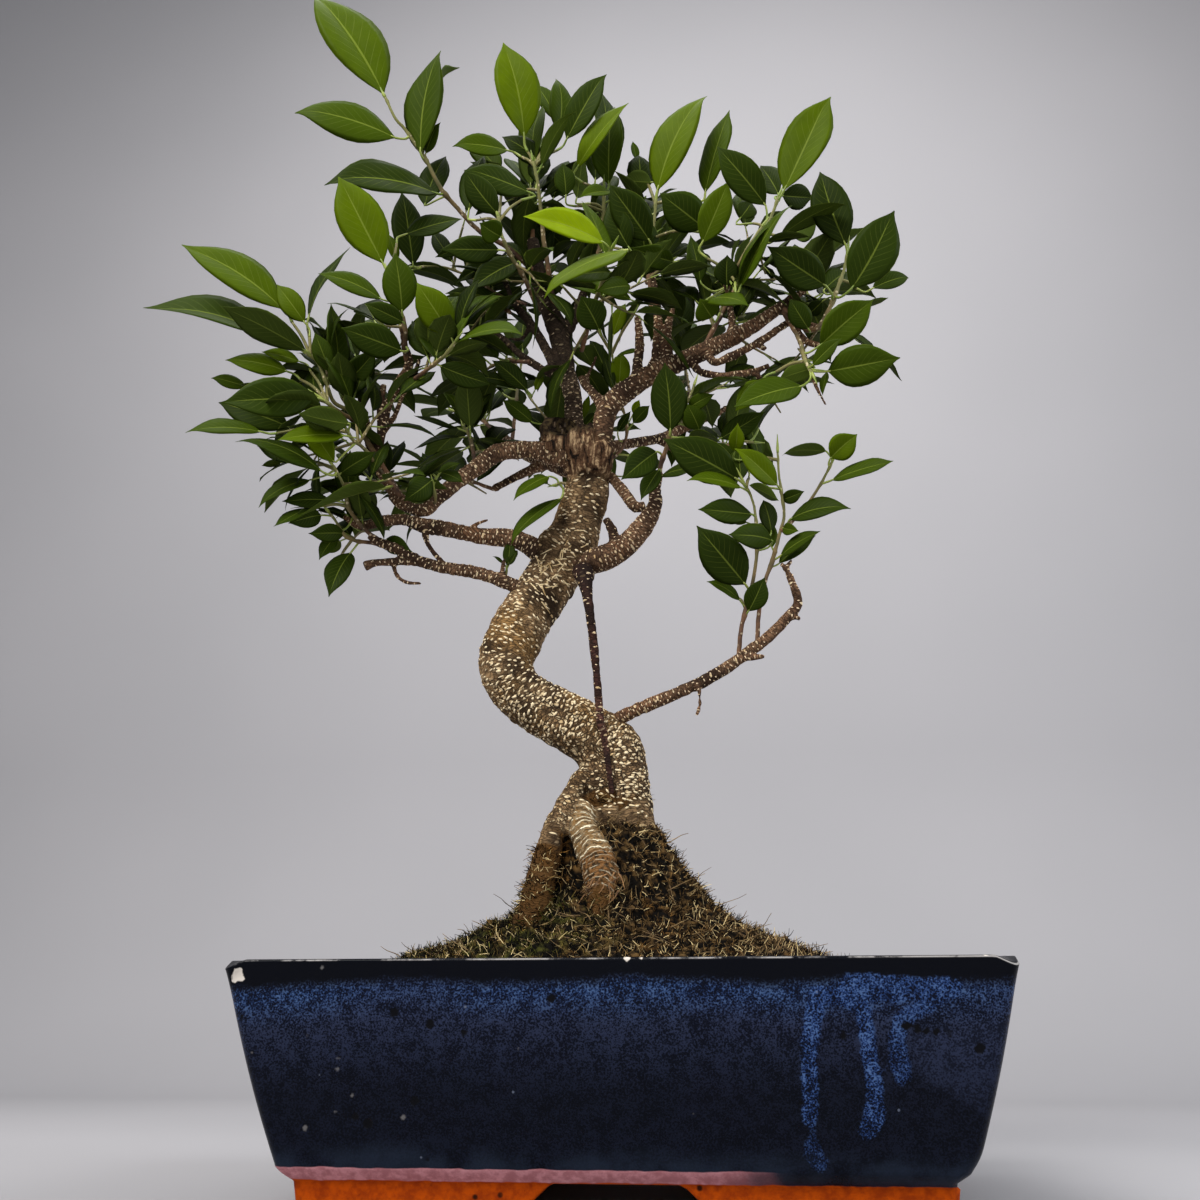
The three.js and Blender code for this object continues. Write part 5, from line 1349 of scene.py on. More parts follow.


# sprays: the twig's radius at its foot and tip, its points, and its leaves, each the blade's base, its tip,
# its width, its turn away from facing the eye, and its tone, which also paints light: dark in shade, bright
# when backlit

pickedSprays = {
    "spray_top_left": (2.6, 1.2, [
        (-58, -4, 514), (-74, -16, 525), (-87, -24, 530), (-101, -34, 543), (-108, -42, 550),
        (-116, -50, 565), (-127, -58, 581), (-132, -62, 586), (-138, -66, 599)], [
        (-139, -66, 601, -183, -78, 670, 39, 35, 0.6), (-132, -60, 574, -186, -82, 582, 27, 40, 0.5),
        (-118, -54, 567, -105, -70, 627, 30, 45, 0.4), (-118, -48, 569, -106, -30, 649, 34, 70, 0.4),
        (-116, -50, 569, -106, -60, 583, 10, 40, 0.35), (-119, -36, 543, -109, -30, 583, 20, 35, 0.25),
        (-110, -44, 545, -163, -84, 530, 32, 55, 0.2)]),
    "spray_upper_left": (2.4, 1.1, [
        (-124, -40, 437), (-123, -48, 442), (-121, -56, 447), (-122, -61, 455), (-125, -64, 465),
        (-129, -66, 477)], [
        (-133, -66, 485, -156, -84, 532, 28, 10, 0.75), (-121, -64, 454, -123, -78, 483, 20, 0, 0.45),
        (-133, -64, 463, -165, -80, 472, 17, 50, 0.45), (-121, -60, 450, -140, -72, 456, 12, 0, 0.3),
        (-122, -56, 434, -151, -76, 439, 19, 0, 0.3), (-126, -50, 514, -95, -40, 529, 17, 45, 0.2)]),
    "spray_left_bright": (2.0, 1.0, [
        (-118, -42, 424), (-102, -56, 426), (-95, -62, 428), (-89, -66, 433)], [
        (-93, -64, 438, -109, -80, 462, 20, 0, 0.7), (-90, -62, 434, -50, -84, 426, 22, 70, 0.5),
        (-92, -62, 431, -68, -56, 469, 20, 80, 0.5), (-102, -56, 427, -118, -40, 456, 17, 50, 0.25),
        (-101, -54, 425, -74, -40, 419, 14, 0, 0.2)]),
    "spray_left_tip": (2.8, 1.2, [
        (-130, -8, 363), (-138, -16, 377), (-150, -28, 397), (-157, -36, 409), (-164, -42, 412),
        (-168, -48, 423), (-173, -52, 434), (-178, -56, 437)], [
        (-191, -62, 462, -245, -84, 493, 31, 45, 0.6), (-200, -56, 448, -267, -76, 458, 32, 60, 0.35),
        (-177, -58, 437, -216, -86, 451, 24, 135, 0.3), (-179, -58, 455, -195, -64, 477, 14, 0, 0.65),
        (-180, -50, 463, -161, -40, 515, 24, 80, 0.15), (-165, -50, 427, -172, -60, 447, 12, 0, 0.35),
        (-162, -44, 430, -168, -50, 471, 20, 45, 0.35)]),
    "spray_left_mid": (2.2, 1.1, [
        (-151, -34, 402), (-157, -44, 403), (-161, -52, 404), (-166, -56, 407)], [
        (-169, -60, 406, -211, -84, 394, 24, 15, 0.3), (-190, -50, 429, -222, -62, 432, 16, 40, 0.6),
        (-184, -48, 436, -203, -58, 438, 10, 40, 0.6), (-215, -46, 423, -232, -56, 425, 9, 30, 0.4),
        (-161, -36, 427, -141, -44, 443, 15, 0, 0.3), (-178, -34, 433, -198, -26, 433, 15, 0, 0.15)]),
    "spray_left_low": (2.2, 1.0, [
        (-129, -20, 362), (-138, -32, 373), (-145, -44, 382), (-149, -52, 384), (-151, -58, 388)], [
        (-151, -58, 383, -181, -78, 373, 18, 55, 0.65), (-148, -60, 389, -170, -80, 387, 15, 180, 0.4),
        (-158, -52, 370, -174, -58, 394, 14, 0, 0.75), (-202, -50, 392, -239, -66, 387, 19, 60, 0.45),
        (-190, -40, 399, -229, -50, 412, 20, 15, 0.2), (-157, -44, 367, -136, -50, 376, 13, 0, 0.3)]),
    "spray_left_long": (2.2, 1.0, [
        (-137, -14, 333), (-147, -24, 341), (-154, -34, 350), (-155, -40, 359), (-156, -46, 363),
        (-160, -50, 370)], [
        (-163, -56, 363, -205, -76, 376, 23, 65, 0.3), (-174, -44, 364, -197, -58, 344, 16, 60, 0.35),
        (-163, -40, 353, -186, -52, 348, 13, 40, 0.15), (-133, -36, 361, -169, -70, 331, 24, 105, 0.45),
        (-184, -34, 380, -208, -40, 388, 12, 20, 0.2), (-174, -44, 347, -188, -56, 332, 11, 55, 0.35),
        (-197, -30, 382, -207, -34, 379, 5, 150, 0.45)]),
    "spray_left_hanging": (2.0, 1.0, [
        (-142, -10, 337), (-148, -18, 336), (-152, -26, 334), (-157, -30, 336), (-162, -32, 344),
        (-165, -36, 348)], [
        (-154, -26, 327, -160, -40, 297, 16, 25, 0.2), (-157, -30, 337, -172, -44, 332, 11, 0, 0.25),
        (-169, -36, 346, -182, -50, 336, 12, 0, 0.2), (-163, -26, 337, -169, -34, 321, 9, 20, 0.3),
        (-161, -24, 335, -172, -16, 331, 8, 180, 0.4), (-154, -28, 346, -153, -16, 370, 13, 15, 0.15),
        (-139, -14, 338, -121, -20, 328, 11, 0, 0.25)]),
    "spray_top_centre": (2.8, 1.2, [
        (-46, 0, 492), (-47, -16, 507), (-49, -24, 525), (-50, -30, 542), (-51, -36, 555),
        (-53, -40, 566)], [
        (-58, -44, 580, -70, -58, 638, 28, 15, 0.75), (-68, -42, 573, -98, -56, 570, 16, 40, 0.5),
        (-48, -30, 569, -74, -34, 590, 16, 25, 0.1), (-48, -40, 562, -27, -56, 587, 17, 125, 0.55),
        (-41, -24, 596, -41, -30, 634, 18, 30, 0.4), (-34, -34, 584, -9, -50, 617, 21, 30, 0.3),
        (-43, -16, 612, -57, -18, 640, 15, 35, 0.4), (-53, -32, 572, -49, -26, 616, 21, 55, 0.4)]),
    "spray_centre_left": (2.4, 1.1, [
        (-54, -8, 484), (-59, -30, 493), (-65, -42, 501), (-68, -48, 507), (-71, -52, 521)], [
        (-69, -50, 508, -79, -62, 510, 15, 0, 0.4), (-71, -52, 522, -88, -66, 543, 17, 0, 0.2),
        (-55, -40, 544, -88, -64, 546, 20, 40, 0.25), (-90, -44, 531, -83, -40, 573, 20, 45, 0.2),
        (-72, -40, 506, -101, -60, 496, 17, 10, 0.2), (-62, -30, 504, -88, -44, 478, 18, 30, 0.1),
        (-75, -30, 567, -96, -24, 595, 17, 30, 0.45)]),
    "spray_centre_bright": (2.4, 1.1, [
        (-28, -6, 456), (-15, -44, 466), (-8, -60, 472), (-6, -70, 476), (-2, -76, 478)], [
        (-6, -80, 479, -47, -98, 487, 22, 45, 1), (7, -78, 475, -36, -98, 440, 27, 70, 0.7),
        (-4, -62, 472, -30, -78, 459, 16, 35, 0.4), (6, -58, 465, -11, -74, 453, 12, 10, 0.45),
        (-13, -44, 447, -22, -56, 462, 18, 0, 0.25), (-8, -60, 485, -22, -50, 529, 22, 65, 0.5)]),
    "spray_top_mid": (2.4, 1.1, [
        (-26, 8, 508), (-20, 0, 518), (-16, -8, 533), (-14, -14, 547), (-13, -18, 558)], [
        (-28, -30, 566, 5, -50, 594, 22, 55, 0.75), (-13, -14, 579, -16, -10, 638, 28, 50, 0.2),
        (-10, -20, 560, -7, -28, 611, 24, 35, 0.4), (-34, -34, 544, -35, -42, 561, 13, 0, 0.3),
        (-29, -24, 549, -26, -20, 583, 16, 140, 0.35), (-7, -26, 550, -25, -40, 539, 12, 55, 0.5),
        (3, -30, 508, -8, -38, 533, 18, 0, 0.2), (-20, -6, 574, -26, 2, 611, 18, 45, 0.15)]),
    "spray_right_centre": (2.4, 1.1, [
        (14, -12, 475), (14, -14, 489), (13, -18, 500), (16, -22, 518), (18, -26, 532), (19, -28, 542)], [
        (20, -30, 546, 50, -44, 602, 30, 40, 0.7), (15, -28, 513, -7, -46, 541, 23, 0, 0.2),
        (16, -22, 558, -2, -20, 563, 14, 180, 0.35), (29, -36, 493, 7, -56, 491, 15, 0, 0.35),
        (47, -36, 514, 23, -52, 528, 23, 0, 0.3), (48, -26, 545, 64, -36, 594, 24, 50, 0.5),
        (6, -10, 584, 4, -12, 596, 6, 30, 0.4)]),
    "spray_right_front": (2.4, 1.1, [
        (60, -28, 474), (59, -38, 476), (65, -46, 480), (71, -52, 488), (80, -56, 499)], [
        (82, -58, 511, 56, -74, 540, 20, 0, 0.3), (46, -50, 495, 62, -62, 526, 18, 0, 0.6),
        (64, -48, 463, 81, -66, 492, 18, 105, 0.55), (66, -52, 463, 94, -70, 503, 23, 65, 0.45),
        (59, -40, 472, 60, -50, 486, 15, 0, 0.12), (44, -38, 477, 39, -46, 503, 13, 30, 0.3),
        (47, -40, 464, 70, -60, 448, 16, 60, 0.5), (50, -36, 455, 44, -48, 460, 16, 0, 0.5)]),
    "spray_right_top": (2.6, 1.1, [
        (42, -18, 442), (53, -14, 466), (65, -14, 489), (74, -18, 501), (81, -22, 516), (88, -26, 531),
        (91, -28, 538)], [
        (94, -30, 540, 122, -42, 595, 30, 30, 0.65), (91, -22, 543, 81, -14, 570, 16, 0, 0.2),
        (93, -18, 545, 112, -4, 552, 16, 0, 0.15), (90, -38, 504, 126, -58, 510, 20, 120, 0.45),
        (97, -30, 509, 113, -22, 526, 16, 180, 0.5), (68, -20, 530, 75, -16, 543, 13, 0, 0.2)]),
    "spray_right_edge": (2.8, 1.1, [
        (89, -29, 464), (99, -30, 450), (107, -34, 445), (114, -36, 454), (120, -36, 468), (125, -36, 482),
        (127, -38, 491)], [
        (126, -40, 494, 114, -48, 539, 23, 0, 0.15), (127, -44, 463, 151, -58, 502, 27, 0, 0.28),
        (140, -30, 471, 162, -24, 481, 12, 30, 0.3), (113, -46, 465, 82, -66, 479, 22, 0, 0.2),
        (113, -30, 472, 130, -14, 493, 15, 30, 0.25), (103, -38, 443, 93, -48, 457, 13, 0, 0.3),
        (112, -28, 466, 103, -20, 462, 9, 0, 0.1)]),
    "spray_right_low": (2.2, 1.0, [
        (90, -29, 460), (98, -38, 435), (100, -44, 420), (103, -48, 410)], [
        (108, -48, 427, 137, -58, 447, 21, 0, 0.5), (111, -50, 410, 147, -66, 407, 23, 0, 0.42),
        (103, -50, 414, 118, -62, 423, 10, 30, 0.4), (97, -52, 401, 61, -70, 382, 21, 40, 0.45),
        (105, -40, 418, 85, -40, 412, 11, 180, 0.55), (111, -44, 413, 108, -44, 399, 7, 50, 0.4),
        (76, -44, 410, 61, -46, 391, 12, 0, 0.6)]),
    "spray_mid_hanging": (2.4, 1.0, [
        (17, -15, 366), (19, -20, 375), (23, -26, 383), (25, -30, 389), (36, -34, 407), (39, -34, 415)], [
        (25, -32, 388, 23, -46, 423, 21, 0, 0.22), (41, -30, 389, 35, -40, 400, 14, 0, 0.4),
        (35, -34, 383, 53, -50, 372, 13, 115, 0.45), (36, -30, 410, 54, -36, 414, 9, 135, 0.5),
        (35, -34, 400, 50, -44, 403, 9, 10, 0.4), (17, -26, 379, -1, -42, 356, 17, 0, 0.25),
        (18, -24, 369, 8, -30, 349, 11, 25, 0.3), (52, -24, 386, 77, -30, 398, 13, 5, 0.25),
        (19, -20, 367, 42, -36, 363, 13, 55, 0.25)]),
    "spray_low_centre": (2.1, 0.9, [
        (58, -16, 262), (60, -20, 277), (64, -24, 290), (68, -28, 305), (70, -30, 320), (70, -32, 333),
        (68, -34, 346), (64, -36, 354)], [
        (61, -40, 354, 23, -58, 371, 23, 0, 0.22), (63, -40, 349, 35, -54, 350, 15, 60, 0.55),
        (68, -34, 336, 40, -50, 334, 15, 25, 0.3), (63, -30, 298, 39, -48, 325, 24, 0, 0.18),
        (78, -38, 319, 55, -56, 316, 14, 10, 0.3), (60, -24, 291, 43, -30, 301, 9, 50, 0.4),
        (64, -24, 285, 73, -32, 301, 13, 0, 0.25), (63, -34, 356, 63, -30, 378, 12, 0, 0.25),
        (64, -26, 368, 44, -30, 382, 8, 20, 0.25), (65, -30, 333, 53, -34, 337, 6, 0, 0.5),
        (78, -22, 330, 74, -16, 352, 10, 0, 0.12)]),
    "spray_low_right": (2.1, 0.9, [
        (68, -18, 266), (69, -20, 281), (72, -24, 297), (78, -26, 313), (82, -28, 326), (85, -28, 337),
        (84, -30, 350), (83, -32, 362), (83, -34, 372)], [
        (82, -34, 352, 61, -50, 368, 15, 30, 0.75), (60, -40, 370, 62, -50, 382, 9, 0, 0.75),
        (84, -26, 347, 96, -34, 348, 8, 0, 0.25), (67, -36, 352, 82, -44, 339, 10, 130, 0.4),
        (82, -28, 314, 103, -44, 321, 13, 55, 0.35), (81, -24, 311, 101, -26, 326, 12, 45, 0.3),
        (78, -22, 321, 73, -10, 342, 12, 20, 0.35)]),
    "spray_low_edge": (1.8, 0.9, [
        (83, -28, 328), (92, -32, 335), (99, -36, 342), (105, -40, 350), (111, -44, 360)], [
        (110, -46, 361, 124, -54, 370, 15, 0, 0.65), (108, -46, 365, 84, -58, 360, 13, 125, 0.5),
        (110, -42, 350, 141, -58, 352, 16, 60, 0.45), (88, -32, 333, 118, -48, 332, 16, 45, 0.3),
        (84, -30, 329, 92, -40, 323, 7, 0, 0.45)]),
    "spray_trunk_left": (1.6, 0.9, [
        (-32, -4, 370), (-37, -12, 369), (-41, -17, 366)], [
        (-44, -20, 370, -62, -32, 352, 13, 55, 0.5), (-38, -14, 359, -64, -30, 328, 20, 65, 0.4),
        (-45, -18, 366, -54, -16, 373, 6, 30, 0.4)]),
    "spray_branch_small": (1.8, 0.9, [
        (-113, -12, 359), (-108, -22, 358), (-108, -28, 363)], [
        (-108, -32, 366, -121, -40, 351, 15, 0, 0.22), (-104, -30, 371, -90, -34, 363, 9, 30, 0.25),
        (-106, -26, 371, -94, -26, 378, 8, 40, 0.35)]),
    "sprig_on_low_branch": (1.4, 0.8, [
        (-70, -9, 308), (-70, -9, 314), (-69, -9, 320)], [
        (-69, -9, 322, -68, -8, 337, 7.5, 0, 0.2), (-68, -9, 322, -63, -12, 329, 4, 30, 0.1),
        (-70, -9, 322, -76, -14, 326, 3.5, 60, 0.15), (-69, -10, 321, -64, -4, 333, 6, 20, 0.12)]),
    "sprig_crown_left": (1.6, 0.8, [
        (-62, -2, 492), (-78, 0, 500), (-98, -2, 514), (-116, -6, 520), (-130, -10, 518)], [
        (-131, -12, 518, -138, -20, 566, 21, 20, 0.12), (-140, -16, 519, -145, -22, 535, 7, 0, 0.55),
        (-96, -6, 534, -118, -10, 524, 9, 20, 0.15), (-76, -2, 527, -106, -8, 506, 12, 20, 0.12),
        (-79, 0, 498, -112, -6, 502, 12, 30, 0.18), (-101, -6, 557, -93, 0, 602, 8, 0, 0.1),
        (-109, -2, 525, -124, 2, 551, 11, 0, 0.15)]),
    "sprig_behind_leader": (1.5, 0.8, [
        (-42, 2, 408), (-50, 4, 418), (-57, 6, 428), (-62, 7, 436)], [
        (-62, 6, 438, -83, 0, 457, 13, 20, 0.15), (-58, 2, 415, -75, -4, 428, 11, 20, 0.35),
        (-58, 8, 439, -53, 8, 452, 5, 0, 0.6), (-65, 10, 442, -97, 4, 448, 9, 30, 0.1)]),
    "sprig_behind_fork": (1.6, 0.8, [
        (-16, 6, 388), (-7, 8, 396), (-3, 11, 410), (-5, 13, 424), (-9, 13, 436), (-11, 12, 452),
        (-12, 11, 466)], [
        (-8, 6, 408, 0, 4, 420, 5.8, 20, 0.2), (1, 8, 420, 5, 6, 428, 5, 0, 0.85),
        (1, 8, 414, 11, 4, 423, 9, 20, 0.45), (-2, 4, 379, 9, -2, 393, 8.5, 0, 0.12),
        (6, 2, 389, 18, -6, 377, 9.5, 40, 0.25), (-11, 10, 437, -17, 14, 462, 7.5, 0, 0.12),
        (-8, 14, 441, -6, 10, 463, 13, 0, 0.72), (-29, 10, 420, -25, 8, 434, 5, 0, 0.7),
        (-21, 12, 424, -29, 6, 411, 7, 20, 0.12), (-9, 6, 457, 7, 0, 457, 6, 60, 0.5),
        (-11, 10, 474, -3, 6, 494, 10, 20, 0.8), (-13, 16, 446, -26, 20, 479, 12, 20, 0.15),
        (-43, -14, 503, -12, -24, 480, 12.5, 30, 0.42), (2, -6, 488, -25, -14, 499, 9, 20, 0.36)]),
}

# sprays inside the crown and behind it: a twig from one point to another, leaves spiralling round it

ruledSprays = [
    ("spray_crown_top", (-59, -4, 536), (-62, 12, 582)), ("spray_crown_back", (-52, 2, 500), (-62, 46, 552)),
    ("spray_crown_left", (-72, -4, 486), (-108, 20, 512)),
    ("spray_crown_low", (-60, 0, 454), (-104, 34, 462)),
    ("spray_crown_right", (-24, 8, 526), (6, 34, 562)), ("spray_crown_rear", (-35, 6, 450), (-46, 64, 492)),
    ("spray_mid_top", (12, -14, 494), (26, 22, 530)), ("spray_right_inner", (57, -23, 448), (68, 16, 486)),
    ("spray_right_rear", (90, -29, 464), (112, 10, 490)),
    ("spray_left_inner", (-88, -12, 382), (-104, 20, 424)),
    ("spray_left_back", (-134, -14, 364), (-166, 16, 386)),
    ("spray_left_upper", (-155, -22, 419), (-172, 4, 462)),
    ("spray_back_low", (-92, 58, 398), (-136, 76, 408)),
    ("spray_back_left", (-96, 86, 449), (-134, 112, 482)),
    ("spray_back_high", (-84, 74, 436), (-84, 102, 512)), ("spray_back_mid", (-54, 44, 409), (-28, 88, 444)),
    ("spray_back_right", (56, 88, 459), (92, 108, 484)), ("spray_back_top", (34, 66, 441), (26, 96, 510)),
    ("spray_back_edge", (46, 56, 410), (72, 64, 424)),
]
ruled = {"lift": 6, "count": 8, "sizes": (44, 48, 52), "radii": (2.2, 1.6, 1.0)}
blade = {
    # half width along the blade, as a share of half its width
    "outline": ((0, 0.035), (0.03, 0.14), (0.08, 0.36), (0.15, 0.61), (0.24, 0.83), (0.34, 0.96),
                (0.45, 1.0), (0.56, 0.965), (0.67, 0.84), (0.77, 0.63), (0.85, 0.4), (0.91, 0.21),
                (0.96, 0.085), (1.0, 0.02)),
    "across": (-1, -0.76, -0.46, -0.17, 0, 0.17, 0.46, 0.76, 1),
    "thick": 0.34, "petiole": 0.6, "reach": 9.0,
}


def facing(base, tip, turn):  # a blade's upper side: turn 0 faces the camera, 90 faces up
    axis = unit(tip - base)
    view = unit(np.asarray(camera["place"], float) - base)
    front = unit(view - axis * np.dot(view, axis))
    across = np.cross(axis, front)
    across = across if across[2] >= 0 else -across
    angle = radians(turn)
    return front * cos(angle) + across * sin(angle)


def addBlade(draft, base, tip, width, face, tone, chance, plain=False):
    axis = tip - base
    length = np.linalg.norm(axis)
    axis = axis / length
    up = unit(face - axis * np.dot(face, axis))
    side = np.cross(up, axis)
    s, wide = np.array(blade["outline"][::2] + blade["outline"][-1:] if plain else blade["outline"]).T
    u = np.array(blade["across"][::2] if plain else blade["across"])
    half = width / 2 * wide
    bow, fold = chance.uniform(0.03, 0.1), chance.uniform(0.16, 0.42)
    roll, hook = chance.uniform(0.1, 0.3), chance.uniform(-0.03, 0.075)
    sway, twist = chance.uniform(-0.035, 0.035), radians(chance.uniform(-20, 20))
    ripple, phase = chance.uniform(0.0, 0.09), chance.uniform(0, 6.28)
    late = np.clip((s - 0.78) / 0.22, 0, 1) ** 2
    middle = (base + np.outer(s * length, axis)
              + np.outer(length * (bow * 4 * s * (1 - s) - hook * late), up)
              + np.outer(length * (sway * 4 * s * (1 - s) + 0.5 * sway * late), side))
    angle = twist * (s - 0.35)
    sideAt = np.outer(np.cos(angle), side) + np.outer(np.sin(angle), up)
    upAt = np.outer(np.cos(angle), up) - np.outer(np.sin(angle), side)
    curl = np.abs(u) ** 3 * np.sign(u + 0.01)
    lift = (fold * np.abs(u)[None, :] - roll * (u**2)[None, :]
            + ripple * np.sin(8.5 * s + phase)[:, None] * curl[None, :]) * half[:, None]
    across = half[:, None] * u[None, :] * (1 - 0.12 * fold)
    top = middle[:, None, :] + sideAt[:, None, :] * across[..., None] + upAt[:, None, :] * lift[..., None]
    thick = (blade["thick"] * np.sqrt(np.clip(1 - u**2, 0, 1)))[None, :]
    thick = thick * np.clip(half / 1.2, 0.3, 1)[:, None]
    under = top - upAt[:, None, :] * thick[..., None]
    rows, columns = len(s), len(u)
    inner = columns - 2
    points = np.concatenate([top.reshape(-1, 3), under[:, 1:-1].reshape(-1, 3)])
    uvTop = np.stack(np.broadcast_arrays(s[:, None], (u[None, :] + 1) / 2), axis=-1)
    uvs = np.concatenate([uvTop.reshape(-1, 2), uvTop[:, 1:-1].reshape(-1, 2)])

    def below(i, k):
        return i * columns + k if k in (0, columns - 1) else rows * columns + i * inner + k - 1

    faces, slots = [], []
    for i in range(rows - 1):
        for k in range(columns - 1):
            a, b = i * columns + k, i * columns + k + 1
            faces.append((a, b, b + columns, a + columns))
            faces.append((below(i, k), below(i + 1, k), below(i + 1, k + 1), below(i, k + 1)))
            slots += [0, 1]
    for i, order in ((0, 1), (rows - 1, -1)):
        loop = [i * columns + k for k in range(columns)] + [below(i, k) for k in range(columns - 2, 0, -1)]
        faces.append(tuple(loop[::-1] if order > 0 else loop))
        slots.append(1)
    draft.add(points, faces, slot=slots, uvs=uvs, tone=tone)
    return middle[0], unit(middle[1] - middle[0])


fill = {
    # side shoots that fill the crown behind the leaves that were placed one by one
    "leaves": 5, "length": (20, 38), "leaf": (24, 38), "tone": (0.05, 0.5),
    "shoots": {"spray_top_left": 0, "spray_upper_left": 1, "spray_left_hanging": 1, "spray_mid_hanging": 1,
               "spray_right_low": 1, "spray_low_centre": 1, "spray_low_right": 0, "spray_low_edge": 0,
               "spray_trunk_left": 0, "spray_branch_small": 0, "spray_right_edge": 2, "spray_left_tip": 2,
               "sprig_on_low_branch": 0, "sprig_behind_fork": 0, "sprig_crown_left": 1,
               "sprig_behind_leader": 0, "spray_crown_left": 4, "spray_centre_left": 2,
               "spray_crown_rear": 0, "spray_crown_low": 1, "spray_crown_back": 1},
    # where the wall shows: places in the photo's 1200 pixels and how far no filling leaf may come
    "clear": ((722, 352, 14), (760, 345, 14), (790, 338, 14), (552, 350, 10), (532, 362, 8), (546, 334, 5),
              (820, 425, 32), (790, 455, 20), (300, 600, 46), (362, 602, 34), (878, 330, 16),
              (470, 520, 34), (600, 610, 60), (455, 615, 40), (700, 640, 60)),
}


def seenAt(point):  # where the camera sees a place, in the photo's 1200 pixels
    yaw, pitch = radians(camera["yaw"]), radians(camera["pitch"])
    x, y, z = np.asarray(point, float) - camera["place"]
    right = x * cos(yaw) + y * sin(yaw)
    level = y * cos(yaw) - x * sin(yaw)
    ahead = level * cos(pitch) + z * sin(pitch)
    rise = z * cos(pitch) - level * sin(pitch)
    scale = 1200 * camera["lens"] / camera["sensor"] / ahead
    return 600 + right * scale, 600 - rise * scale


def inTheClear(base, tip):
    for share in (0.1, 0.5, 0.9):
        seenX, seenY = seenAt(base + (tip - base) * share)
        if any(hypot(seenX - x, seenY - y) < reach + 6 for x, y, reach in fill["clear"]):
            return True
    return False


def addShoots(draft, path, seed, count):
    chance = random.Random(seed * 7 + 3)
    for k in range(count):
        at = int(len(path) * chance.uniform(0.12, 0.85))
        start = path[at, :3]
        ahead = unit(path[min(at + 2, len(path) - 1), :3] - path[at - 1, :3])
        aside = np.array([chance.gauss(0, 0.6), chance.uniform(0.3, 1.2), chance.gauss(0.25, 0.5)])
        out = unit(0.5 * ahead + aside)
        length = chance.uniform(*fill["length"])
        end = start + out * length
        middle = (start + end) / 2 + np.array([0, 0, chance.uniform(-3, 4)])
        stem = addTube(draft, ((start, 1.0), (middle, 0.8), (end, 0.55)), 8, 5, slot=3, young=0.55)
        sideA = unit(np.cross(out, (0.3, 0.2, 1)))
        sideB = np.cross(out, sideA)
        for i in range(fill["leaves"]):
            share = (i + 1) / fill["leaves"]
            angle = radians(137.5 * i + 77 * k + 31 * seed)
            root = stem[int(share * 8), :3]
            away = unit(out * (0.25 + 0.9 * share**2) + (sideA * cos(angle) + sideB * sin(angle))
                        * (1 - 0.6 * share) + np.array([0, 0, 0.15]))
            size = chance.uniform(*fill["leaf"])
            base = root + away * chance.uniform(4, 7)
            tip = base + away * size - np.array([0, 0, chance.uniform(0, 0.3) * size])
            face = np.array([0.3 * away[0] + chance.gauss(0, 0.25), chance.uniform(-0.9, 0.1), 1.0])
            # the tone is the lower of two draws: painted shade for the leaves that fill the crown's inside
            tone = min(chance.uniform(*fill["tone"]), chance.uniform(*fill["tone"]))
            if inTheClear(base, tip):
                continue
            addBlade(draft, base, tip, size * chance.uniform(0.46, 0.58), face, tone, chance, True)
            addTube(draft, ((root, 0.6), (base, 0.45), (base + away * 2, 0.3)), 3, 4, slot=2)


# each leaf's tone also paints its light: dark for shaded leaves, bright for backlit ones
def addSpray(name, twig, thick, thin, leaves, seed):  # leaves: base, tip, width, face, tone
    chance = random.Random(seed)
    draft = Draft("tone", "young")
    radii = np.linspace(thick, thin, len(twig))
    path = smoothRoute(np.column_stack([twig, radii]), max(10, int(routeLength(twig) / 1.6)))
    share = np.linspace(0, 1, len(path))
    # a twig swells a little where each leaf leaves it
    roots = [max(0, int(np.argmin(np.linalg.norm(path[:, :3] - base, axis=1))) - 2) for base, *_ in leaves]
    swell = np.zeros(len(path))
    for k in roots:
        swell += 0.38 * np.exp(-((np.arange(len(path)) - k) / 1.1) ** 2)
    path[:, 3] *= 0.62 * (1 + np.clip(swell, 0, 0.5))
    path[:, :3] += 0.25 * np.array([[noise.noise(Vector(p[:3]) * 0.3 + Vector((i, 0, 0))) for i in (0, 5, 9)]
                                    for p in path])
    draft.add(*tubeAlong(path, 8), slot=3, young=np.repeat(np.clip(share * 1.5 - 0.35, 0, 1), 8))
    # the pointed bud at its end
    ahead = unit(path[-1, :3] - path[-2, :3])
    reach = chance.uniform(6, 10)
    shares = ((-0.1, thin * 0.75), (0.15, thin * 0.95), (0.5, thin * 0.6), (0.98, 0.16))
    addTube(draft, [(path[-1, :3] + ahead * reach * s, radius) for s, radius in shares], 7, 6, slot=2)
    for (base, tip, width, face, tone), k in zip(leaves, roots):
        foot, axis = addBlade(draft, base, tip, width, face, tone, chance)
        start = path[k, :3]
        gap = np.linalg.norm(foot - start)
        back = min(blade["reach"], gap * 0.7)
        onward = 0.35 * axis * (np.dot(axis, foot - start) > 0)
        joint = foot - back * unit(onward + 0.65 * unit(foot - start))
        if gap > 2.0 * blade["reach"]:
            # a side shoot carries a leaf that stands far from the twig
            middle = (start + joint) / 2 + np.array([0, 0, 0.06 * gap])
            addTube(draft, ((start, 1.0), (middle, 0.9), (joint, 0.75)), 9, 6, slot=3, young=0.75)
            start = joint
            joint = foot - back * 0.5 * axis
        size = blade["petiole"] * min(1.25, 0.6 + width / 40)
        inBlade = foot + axis * 0.05 * np.linalg.norm(tip - base)
        stalk = ((start, size * 1.3), (joint, size), (foot, size * 0.95), (inBlade, size * 0.55))
        addTube(draft, stalk, 8, 6, slot=2)
    addShoots(draft, path, seed, fill["shoots"].get(name, 3 if name in pickedSprays else 2))
    piece = newPiece(name + "_leaves", draft.mesh(name + "_leaves", "blade"), finish["leaf"],
                     finish["leafUnder"], finish["stalk"], finish["twig"])
    settle(piece, "leaf", *([name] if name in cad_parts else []))


